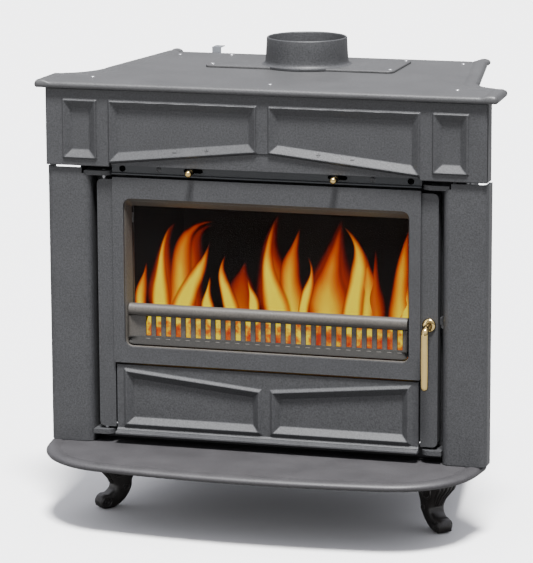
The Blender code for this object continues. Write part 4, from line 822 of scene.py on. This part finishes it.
slot_middles = first_slot + pitch * np.arange(SLOTS)
parts = []
for left, right in zip([-half, *(slot_middles + 0.005)], [*(slot_middles - 0.005), half]):
    face = np.linspace(left + 0.0014, right - 0.0014, 7)
    xs = np.array([left, left, left + 0.0007, *face, right - 0.0007, right, right])
    depth = wall_y - flare(xs)
    depth[1] += 0.0008
    depth[2] += 0.0002
    depth[-2] += 0.0008
    depth[-3] += 0.0002
    depth[0] = depth[-1] = wall_back
    half_way = (slot_low + slot_high) / 2
    levels = (slot_low - 0.001, slot_low + 0.001, half_way, slot_high - 0.001, slot_high + 0.002)
    parts.append([np.column_stack([xs, depth, np.full(len(xs), z)]) for z in levels])
posts = add_piece("fender_posts", *joined(parts), bezel_paint, "door")

parts = []
for middle in slot_middles:
    rings = []
    for x in np.linspace(middle - 0.0062, middle + 0.0062, 6):
        thin = 0.3 + 0.7 * math.sqrt(max(1 - ((x - middle) / 0.0063) ** 2, 0))
        ring = []
        for a in np.linspace(0, 2 * math.pi, 8, endpoint=False):
            y, z = -0.1200 + 0.0014 * math.cos(a) * thin, slot_low - 0.0042 + 0.0010 * math.sin(a) * thin
            ring.append((x, y, z))
        rings.append(ring)
    parts.append(rings)
rims = add_piece("slot_rims", *joined(parts), bezel_paint, "door")


# ---------------------------------------------------------------- brass
# Polished brass on the lever, its rose and the two knobs, with painted shade: its colour turns dark brown
# towards edges seen side-on, under a light mottle.

brass, brass_tree, brass_shader = new_material("polished_brass")
brass_shader.inputs["Metallic"].default_value = 1.0
brass_place = brass_tree.nodes.new("ShaderNodeTexCoord").outputs["Object"]
brass_cloud = noise_at(brass_tree, brass_place, 90.0, 4.0)
# The facing weight darkens the colour where the surface is seen side-on: painted shade on the brass's edges,
# not the metal's own colour.
brass_edge_shade_weight = brass_tree.nodes.new("ShaderNodeLayerWeight")
brass_edge_shade_weight.inputs["Blend"].default_value = 0.35
brass_mottle = maths(brass_tree, "MULTIPLY", brass_cloud, 0.12)
brass_edge_shade_and_mottle = maths(brass_tree, "ADD", brass_edge_shade_weight.outputs["Facing"], brass_mottle)
brass_colour_with_edge_shade = colour_ramp(brass_tree, brass_edge_shade_and_mottle, [(0.08, (0.84, 0.62, 0.25)), (0.60, (0.10, 0.060, 0.014))])
brass_tree.links.new(brass_colour_with_edge_shade, brass_shader.inputs["Base Color"])
brass_rough = maths(brass_tree, "ADD", maths(brass_tree, "MULTIPLY", brass_cloud, 0.10), 0.08)
brass_tree.links.new(brass_rough, brass_shader.inputs["Roughness"])

lever_low, lever_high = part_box("handle_lever")
grip_x, pivot_z = 0.3025, 0.3890
grip_y, elbow = -0.166, 0.012
path = []
for y in np.linspace(lever_high.y, grip_y + elbow + 0.004, 8):
    path.append((grip_x, y, pivot_z, 0, 1, 0.005, 0.005))
for angle in np.radians(np.linspace(0, 90, 12)):
    swell = math.sin(angle)
    drop = math.cos(angle)
    y, z = grip_y + elbow - elbow * swell, pivot_z - elbow + elbow * drop
    path.append((grip_x, y, z, -swell, drop, 0.0056 + 0.0014 * swell, 0.0052 + 0.0003 * swell))
for t in np.linspace(0.04, 1, 40):
    z = pivot_z - elbow - (pivot_z - elbow - lever_low.z) * t
    end = math.sqrt(max(1 - max((t - 0.93) / 0.07, 0) ** 2, 0.002))
    belly = 1 + 0.06 * math.sin(math.pi * min(t * 1.1, 1))
    path.append((grip_x, grip_y, z, -1, 0, 0.0069 * belly * end, 0.0053 * belly * end))
rings = []
for x, y, z, out_y, out_z, wide, deep in path:
    loop = []
    for a in np.linspace(0, 2 * math.pi, 28, endpoint=False):
        loop.append((x + wide * math.cos(a), y + deep * math.sin(a) * out_y, z + deep * math.sin(a) * out_z))
    rings.append(loop)
lever = swept("brass_lever", rings, brass, "handle", ("handle_lever",))


def turned_y(name, profile, centre, material, body, replaced=(), count=48):
    """A piece turned about an axis along Y: rings of (radius, y) profile points."""
    rings = []
    for a in np.linspace(0, 2 * math.pi, count, endpoint=False):
        rings.append([(centre[0] + r * math.cos(a), y, centre[1] + r * math.sin(a)) for r, y in profile])
    return swept(name, rings, material, body, replaced, loop=True)


rose_profile = [(0.0053, -0.1303), (0.0125, -0.1303), (0.0125, -0.1318), (0.0121, -0.1327), (0.0108, -0.1340)]
rose_profile += [(0.0092, -0.1347), (0.0075, -0.1350), (0.0060, -0.1351), (0.0053, -0.1350)]
rose = turned_y("brass_rose", rose_profile, (grip_x, pivot_z), brass, "door", ("handle_rose",))
for label in ("left", "right"):
    low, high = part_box(f"air_knob_{label}")
    cx, cz = (low.x + high.x) / 2, (low.z + high.z) / 2
    tip_y = low.y
    profile = [(0.0001, high.y), (0.0050, high.y), (0.0055, high.y - 0.0008), (0.0056, high.y - 0.0120)]
    profile += [(0.0050, high.y - 0.0128), (0.0050, high.y - 0.0138), (0.0060, high.y - 0.0146)]
    profile += [(0.0064, high.y - 0.0165), (0.0064, tip_y + 0.0062)]
    for a in np.linspace(0.2, 1.53, 9):
        profile.append((0.0064 * math.cos(a), tip_y + 0.0062 - 0.0062 * math.sin(a)))
    profile += [(0.0001, tip_y)]
    knob = turned_y(f"brass_knob_{label}", profile, (cx, cz), brass, f"{label}_slide", (f"air_knob_{label}",))


# ---------------------------------------------------------------- screws
# Low domed steel screws with a cross recess.

steel = cast_material(
    "screw_steel", (0.42, 0.42, 0.43), speckle=0.4, roughness=0.36, metallic=0.9, relief=0.00005
)
black_screw = cast_material(
    "black_screw", (0.07, 0.07, 0.072), speckle=0.4, roughness=0.32, metallic=0.4, relief=0.00005
)


def screw_head(name, centre, axis, radius, rise, material, replaced):
    """A domed head on a polar grid, with a cross sunk in its middle."""
    radii = np.array([0.0, 0.12, 0.22, 0.32, 0.42, 0.5, 0.58, 0.7, 0.82, 0.92, 1.0, 1.0])
    turns_here = np.linspace(0, 2 * np.pi, 48, endpoint=False)
    rings = []
    for k, r in enumerate(radii):
        a, b = r * np.cos(turns_here), r * np.sin(turns_here)
        height = np.sqrt(np.clip(1 - (0.92 * r) ** 2, 0, 1))
        arm = np.minimum(np.abs(a), np.abs(b)) < 0.15
        sunk = arm & (np.maximum(np.abs(a), np.abs(b)) < 0.56)
        up = rise * (height - 0.35) / 0.65 - np.where(sunk, rise * 0.75, 0)
        if k == len(radii) - 1:
            up = np.full_like(a, -0.0004)
        ring = {
            "Z": np.column_stack([centre[0] + radius * a, centre[1] + radius * b, centre[2] + up]),
            "Y": np.column_stack([centre[0] + radius * a, centre[1] - up, centre[2] + radius * b]),
        }[axis]
        rings.append(ring)
    rings[0] += (np.roll(rings[1], 24, 0) + rings[1] - 2 * rings[0]) * 0.01
    return swept(name, rings, material, "stove", replaced)


for label in ("front", "left", "right", "rear_left", "rear_right"):
    low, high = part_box(f"top_screw_{label}")
    centre = ((low.x + high.x) / 2, (low.y + high.y) / 2, top_high)
    screw_head(f"screw_top_{label}", centre, "Z", 0.0042, 0.0018, steel, (f"top_screw_{label}",))
for label in ("front_left", "front_right", "rear_left", "rear_right"):
    low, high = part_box(f"flue_screw_{label}")
    centre = ((low.x + high.x) / 2, (low.y + high.y) / 2, seat + 0.004)
    screw_head(f"screw_flue_{label}", centre, "Z", 0.0042, 0.0018, steel, (f"flue_screw_{label}",))
for label in ("left", "right"):
    low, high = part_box(f"rail_screw_{label}")
    centre = ((low.x + high.x) / 2, low.y + 0.002, (low.z + high.z) / 2)
    screw_head(f"screw_rail_{label}", centre, "Y", 0.0052, 0.0018, black_screw, (f"rail_screw_{label}",))


# ---------------------------------------------------------------- plain CAD pieces
# Nodes whose own shape is shown, each with the finish that the real piece has.

nodes["air_rail"].data.materials[0] = rail_paint
for name in ("fire_bed", "baffle", "air_slide_left", "air_slide_right", "grate"):
    nodes[name].data.materials[0] = soot
pins = ("hinge_pin_top", "hinge_pin_bottom", "flap_pin_left", "flap_pin_right")
for name in (*pins, "latch_tongue", "ash_pan"):
    nodes[name].data.materials[0] = steel
for row in ("low", "high"):
    for label in ("left", "right"):
        nodes[f"glass_clip_{row}_{label}"].data.materials[0] = steel
zinc = cast_material(
    "zinc_sheet",
    (0.42, 0.44, 0.47),
    speckle=0.3,
    cloudiness=0.7,
    roughness=0.38,
    metallic=0.85,
    relief=0.00004,
)
for name in ("heat_shield", "shield_bracket"):
    nodes[name].data.materials[0] = zinc
brick_look = cast_material(
    "sooty_brick",
    (0.016, 0.014, 0.012),
    speckle=1.2,
    cloudiness=1.0,
    roughness=0.95,
    relief=0.0008,
    sheen=0.1,
)
for name in ("brick_left", "brick_right", "brick_back"):
    nodes[name].data.materials[0] = brick_look

glass, glass_tree, glass_shader = new_material("ceramic_glass")
glass_place = glass_tree.nodes.new("ShaderNodeTexCoord").outputs["Object"]
glass_film = noise_at(glass_tree, glass_place, 6.0, 3.0)
glass_shader.inputs["Base Color"].default_value = (0.02, 0.02, 0.02, 1)
glass_haze = maths(glass_tree, "ADD", maths(glass_tree, "MULTIPLY", glass_film, 0.05), 0.03)
glass_tree.links.new(glass_haze, glass_shader.inputs["Alpha"])
glass_shader.inputs["Roughness"].default_value = 0.06
nodes["window_glass"].data.materials[0] = glass


# ---------------------------------------------------------------- fire
# Soft tongues of flame over the grate: a yellow heart, orange flanks and dark red edges.

flame_group, flame_in, flame_out = new_group(
    "flame_glow",
    [("Heat", 1.0), ("Fade", 1.0)],
    [("Colour", "NodeSocketColor"), ("Alpha", "NodeSocketFloat")],
)
flame_uv = flame_group.nodes.new("ShaderNodeUVMap")
flame_uv.uv_map = "flame"
flame_split = flame_group.nodes.new("ShaderNodeSeparateXYZ")
flame_group.links.new(flame_uv.outputs[0], flame_split.inputs[0])
flame_u, flame_v = flame_split.outputs["X"], flame_split.outputs["Y"]
flame_place = flame_group.nodes.new("ShaderNodeTexCoord").outputs["Object"]
flame_map = flame_group.nodes.new("ShaderNodeVectorMath")
flame_map.operation = "MULTIPLY"
flame_map.inputs[1].default_value = (1.0, 0.3, 0.35)
flame_group.links.new(flame_place, flame_map.inputs[0])
flame_wisps = noise_at(flame_group, flame_map.outputs[0], 30.0, 2.0)
across = maths(flame_group, "SUBTRACT", maths(flame_group, "MULTIPLY", flame_u, 2.0), 1.0)
across_node = maths(flame_group, "ABSOLUTE", across)
core = maths(flame_group, "SUBTRACT", 1.0, maths(flame_group, "POWER", across_node, 1.5))
tall = maths(flame_group, "SUBTRACT", 1.0, maths(flame_group, "POWER", flame_v, 1.6))
fading = maths(flame_group, "ADD", maths(flame_group, "MULTIPLY", tall, 0.75), 0.25)
body_heat = maths(flame_group, "MULTIPLY", core, fading)
wisp_shift = maths(flame_group, "MULTIPLY", maths(flame_group, "SUBTRACT", flame_wisps, 0.5), 0.45)
wavy = maths(flame_group, "ADD", body_heat, wisp_shift)
heat = maths(flame_group, "MULTIPLY", wavy, flame_in.outputs["Heat"])
fire_stops = [
    (0.0, (0.03, 0.0, 0.0)),
    (0.16, (0.10, 0.003, 0.001)),
    (0.32, (0.36, 0.018, 0.0)),
    (0.5, (0.58, 0.10, 0.0)),
    (0.66, (0.72, 0.26, 0.0)),
    (0.82, (0.86, 0.52, 0.0)),
    (1.0, (1.0, 0.78, 0.0)),
]
flame_group.links.new(colour_ramp(flame_group, heat, fire_stops), flame_out.inputs["Colour"])
edge_mask = flame_group.nodes.new("ShaderNodeMapRange")
edge_mask.interpolation_type = "SMOOTHSTEP"
edge_mask.inputs["From Min"].default_value = 0.02
edge_mask.inputs["From Max"].default_value = 0.34
flame_group.links.new(wavy, edge_mask.inputs["Value"])
rim_mask = maths(flame_group, "SUBTRACT", 1.0, maths(flame_group, "POWER", across_node, 6.0))
sheet_mask = maths(flame_group, "MULTIPLY", edge_mask.outputs[0], rim_mask)
alpha = maths(flame_group, "MULTIPLY", sheet_mask, flame_in.outputs["Fade"])
tip_mask = maths(flame_group, "SUBTRACT", 1.0, maths(flame_group, "POWER", flame_v, 10.0))
flame_group.links.new(maths(flame_group, "MULTIPLY", alpha, tip_mask), flame_out.inputs["Alpha"])


def flame_material(name, hot, fade):
    """Glowing, see-through fire of a heat."""
    material, tree, shader = new_material(name)
    glow = tree.nodes.new("ShaderNodeGroup")
    glow.node_tree = flame_group
    glow.inputs["Heat"].default_value = hot
    glow.inputs["Fade"].default_value = fade
    shader.inputs["Base Color"].default_value = (0, 0, 0, 1)
    shader.inputs["Roughness"].default_value = 1.0
    shader.inputs["Specular IOR Level"].default_value = 0.0
    shader.inputs["Emission Strength"].default_value = 1.1
    tree.links.new(glow.outputs["Colour"], shader.inputs["Emission Color"])
    tree.links.new(glow.outputs["Alpha"], shader.inputs["Alpha"])
    return material


flame_bright = flame_material("flame_bright", 1.42, 1.0)
flame_orange = flame_material("flame_orange", 1.0, 0.95)
flame_red = flame_material("flame_red", 0.58, 0.85)


def tongue(name, spine, width, y, material):
    """A sheet along a smooth line through (x, z) points, swelling from its foot and closing to a point."""
    rows, columns = 48, 13
    spine = np.array(spine)
    knots = np.linspace(0, 1, len(spine))
    fine_v = np.linspace(0, 1, rows)
    bend_x = np.polyval(np.polyfit(knots, spine[:, 0], min(3, len(spine) - 1)), fine_v)
    bend_z = np.polyval(np.polyfit(knots, spine[:, 1], min(3, len(spine) - 1)), fine_v)
    ahead_x, ahead_z = np.gradient(bend_x), np.gradient(bend_z)
    length = np.hypot(ahead_x, ahead_z)
    side_x, side_z = (ahead_z / length)[:, None], (-ahead_x / length)[:, None]
    v = fine_v[:, None]
    u = np.linspace(0, 1, columns)[None, :]
    wide = width * (1 - v) ** 0.7 * (0.75 + 0.4 * np.sin(np.pi * np.clip(v * 1.3, 0, 1)))
    wide = wide * (1 + 0.13 * np.sin(v * 9 + spine[0, 0] * 60))
    x = bend_x[:, None] + side_x * wide * (2 * u - 1)
    z = bend_z[:, None] + side_z * wide * (2 * u - 1)
    depth = y + 0.010 * (2 * u - 1) ** 2 + 0.006 * np.sin(v * 7 + spine[0, 0] * 40)
    points = np.stack([x, depth, z], -1).reshape(-1, 3)
    faces = []
    for i in range(rows - 1):
        for j in range(columns - 1):
            a = i * columns + j
            faces.append((a, a + 1, a + columns + 1, a + columns))
    mesh = bpy.data.meshes.new(name)
    mesh.from_pydata([tuple(p) for p in points], [], faces)
    layer = mesh.uv_layers.new(name="flame")
    coords = np.stack(np.broadcast_arrays(u, v), -1).reshape(-1, 2)
    order = np.zeros(len(mesh.loops), np.int64)
    mesh.loops.foreach_get("vertex_index", order)
    layer.data.foreach_set("uv", coords[order].astype(np.float32).ravel())
    mesh.materials.append(material)
    mesh.shade_smooth()
    piece = put(name, mesh)
    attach(piece, "stove")
    return piece


flames = {
    "left_tall": (
        [(-0.224, 0.352), (-0.226, 0.39), (-0.228, 0.437), (-0.224, 0.479), (-0.205, 0.529)],
        0.021, -0.048, 2,
    ),
    "left_flare": (
        [(-0.224, 0.352), (-0.228, 0.40), (-0.228, 0.45), (-0.222, 0.50), (-0.200, 0.532)],
        0.034, -0.030, 0,
    ),
    "curl": (
        [(-0.185, 0.345), (-0.190, 0.40), (-0.193, 0.443), (-0.186, 0.49), (-0.160, 0.53), (-0.126, 0.538)],
        0.034, -0.038, 1,
    ),
    "curl_red": ([(-0.175, 0.345), (-0.178, 0.43), (-0.164, 0.50), (-0.130, 0.530)], 0.036, -0.028, 0),
    "fork": (
        [(-0.190, 0.345), (-0.176, 0.402), (-0.160, 0.436), (-0.140, 0.469), (-0.128, 0.506)],
        0.026, -0.052, 2,
    ),
    "corner": ([(-0.270, 0.355), (-0.266, 0.392), (-0.261, 0.426), (-0.255, 0.458)], 0.016, -0.046, 1),
    "small_left": ([(-0.137, 0.350), (-0.135, 0.395), (-0.132, 0.437)], 0.016, -0.050, 2),
    "hook": ([(-0.088, 0.350), (-0.098, 0.411), (-0.110, 0.443), (-0.098, 0.483)], 0.019, -0.050, 2),
    "hook_red": ([(-0.072, 0.355), (-0.080, 0.412), (-0.067, 0.466)], 0.042, -0.026, 0),
    "small_middle": ([(-0.044, 0.350), (-0.050, 0.399), (-0.055, 0.441)], 0.014, -0.052, 2),
    "middle": ([(0.002, 0.350), (-0.012, 0.41), (-0.020, 0.471), (-0.008, 0.546)], 0.030, -0.048, 2),
    "middle_red": ([(0.000, 0.350), (-0.014, 0.43), (-0.022, 0.489), (-0.006, 0.556)], 0.050, -0.024, 0),
    "middle_right": ([(0.025, 0.350), (0.018, 0.431), (0.022, 0.482), (0.035, 0.532)], 0.032, -0.034, 1),
    "spike": ([(0.045, 0.350), (0.052, 0.405), (0.062, 0.443), (0.057, 0.484)], 0.015, -0.053, 2),
    "broad": ([(0.094, 0.345), (0.090, 0.412), (0.098, 0.472), (0.118, 0.546)], 0.048, -0.034, 1),
    "broad_red": ([(0.092, 0.345), (0.094, 0.43), (0.100, 0.49), (0.116, 0.556)], 0.062, -0.022, 0),
    "bright": (
        [(0.138, 0.345), (0.142, 0.414), (0.152, 0.466), (0.150, 0.507), (0.126, 0.543)],
        0.026, -0.052, 2,
    ),
    "bright_side": ([(0.160, 0.345), (0.166, 0.411), (0.168, 0.457), (0.154, 0.503)], 0.024, -0.040, 1),
    "faint": ([(0.181, 0.350), (0.180, 0.426), (0.178, 0.500)], 0.020, -0.036, 0),
    "right": ([(0.228, 0.345), (0.228, 0.414), (0.232, 0.484), (0.246, 0.546)], 0.028, -0.044, 1),
    "right_low": ([(0.242, 0.350), (0.240, 0.397), (0.246, 0.448)], 0.018, -0.052, 2),
}
for label, (spine, width, y, heat_step) in flames.items():
    tongue(f"flame_{label}", spine, width, y, (flame_red, flame_orange, flame_bright)[heat_step])

ember_look, ember_tree, ember_shader = new_material("ember_glow")
ember_place = ember_tree.nodes.new("ShaderNodeTexCoord").outputs["Object"]
ember_noise = noise_at(ember_tree, ember_place, 42.0, 3.0, 0.6)
ember_stops = [(0.34, (0.42, 0.022, 0.0)), (0.46, (0.60, 0.13, 0.0)), (0.62, (0.95, 0.72, 0.0))]
ember_tree.links.new(colour_ramp(ember_tree, ember_noise, ember_stops), ember_shader.inputs["Emission Color"])
ember_shader.inputs["Emission Strength"].default_value = 1.15
ember_shader.inputs["Base Color"].default_value = (0, 0, 0, 1)
ember_shader.inputs["Roughness"].default_value = 1.0
EMBER_LEFT, EMBER_RIGHT, EMBER_FOOT, EMBER_FADE = -0.262, 0.258, 0.3105, 0.02
rings = []
for x in np.linspace(EMBER_LEFT, EMBER_RIGHT, 60):
    crest = 0.374 + 0.004 * math.sin(x * 70) + 0.003 * math.sin(x * 160 + 1)
    edge = min((x - EMBER_LEFT) / EMBER_FADE, (EMBER_RIGHT - x) / EMBER_FADE, 1.0)
    top = EMBER_FOOT + (crest - EMBER_FOOT) * max(edge, 0.1)
    rings.append([(x, -0.060, EMBER_FOOT), (x, -0.056, EMBER_FOOT), (x, -0.054, top), (x, -0.058, top)])
swept("glowing_embers", rings, ember_look, "stove")
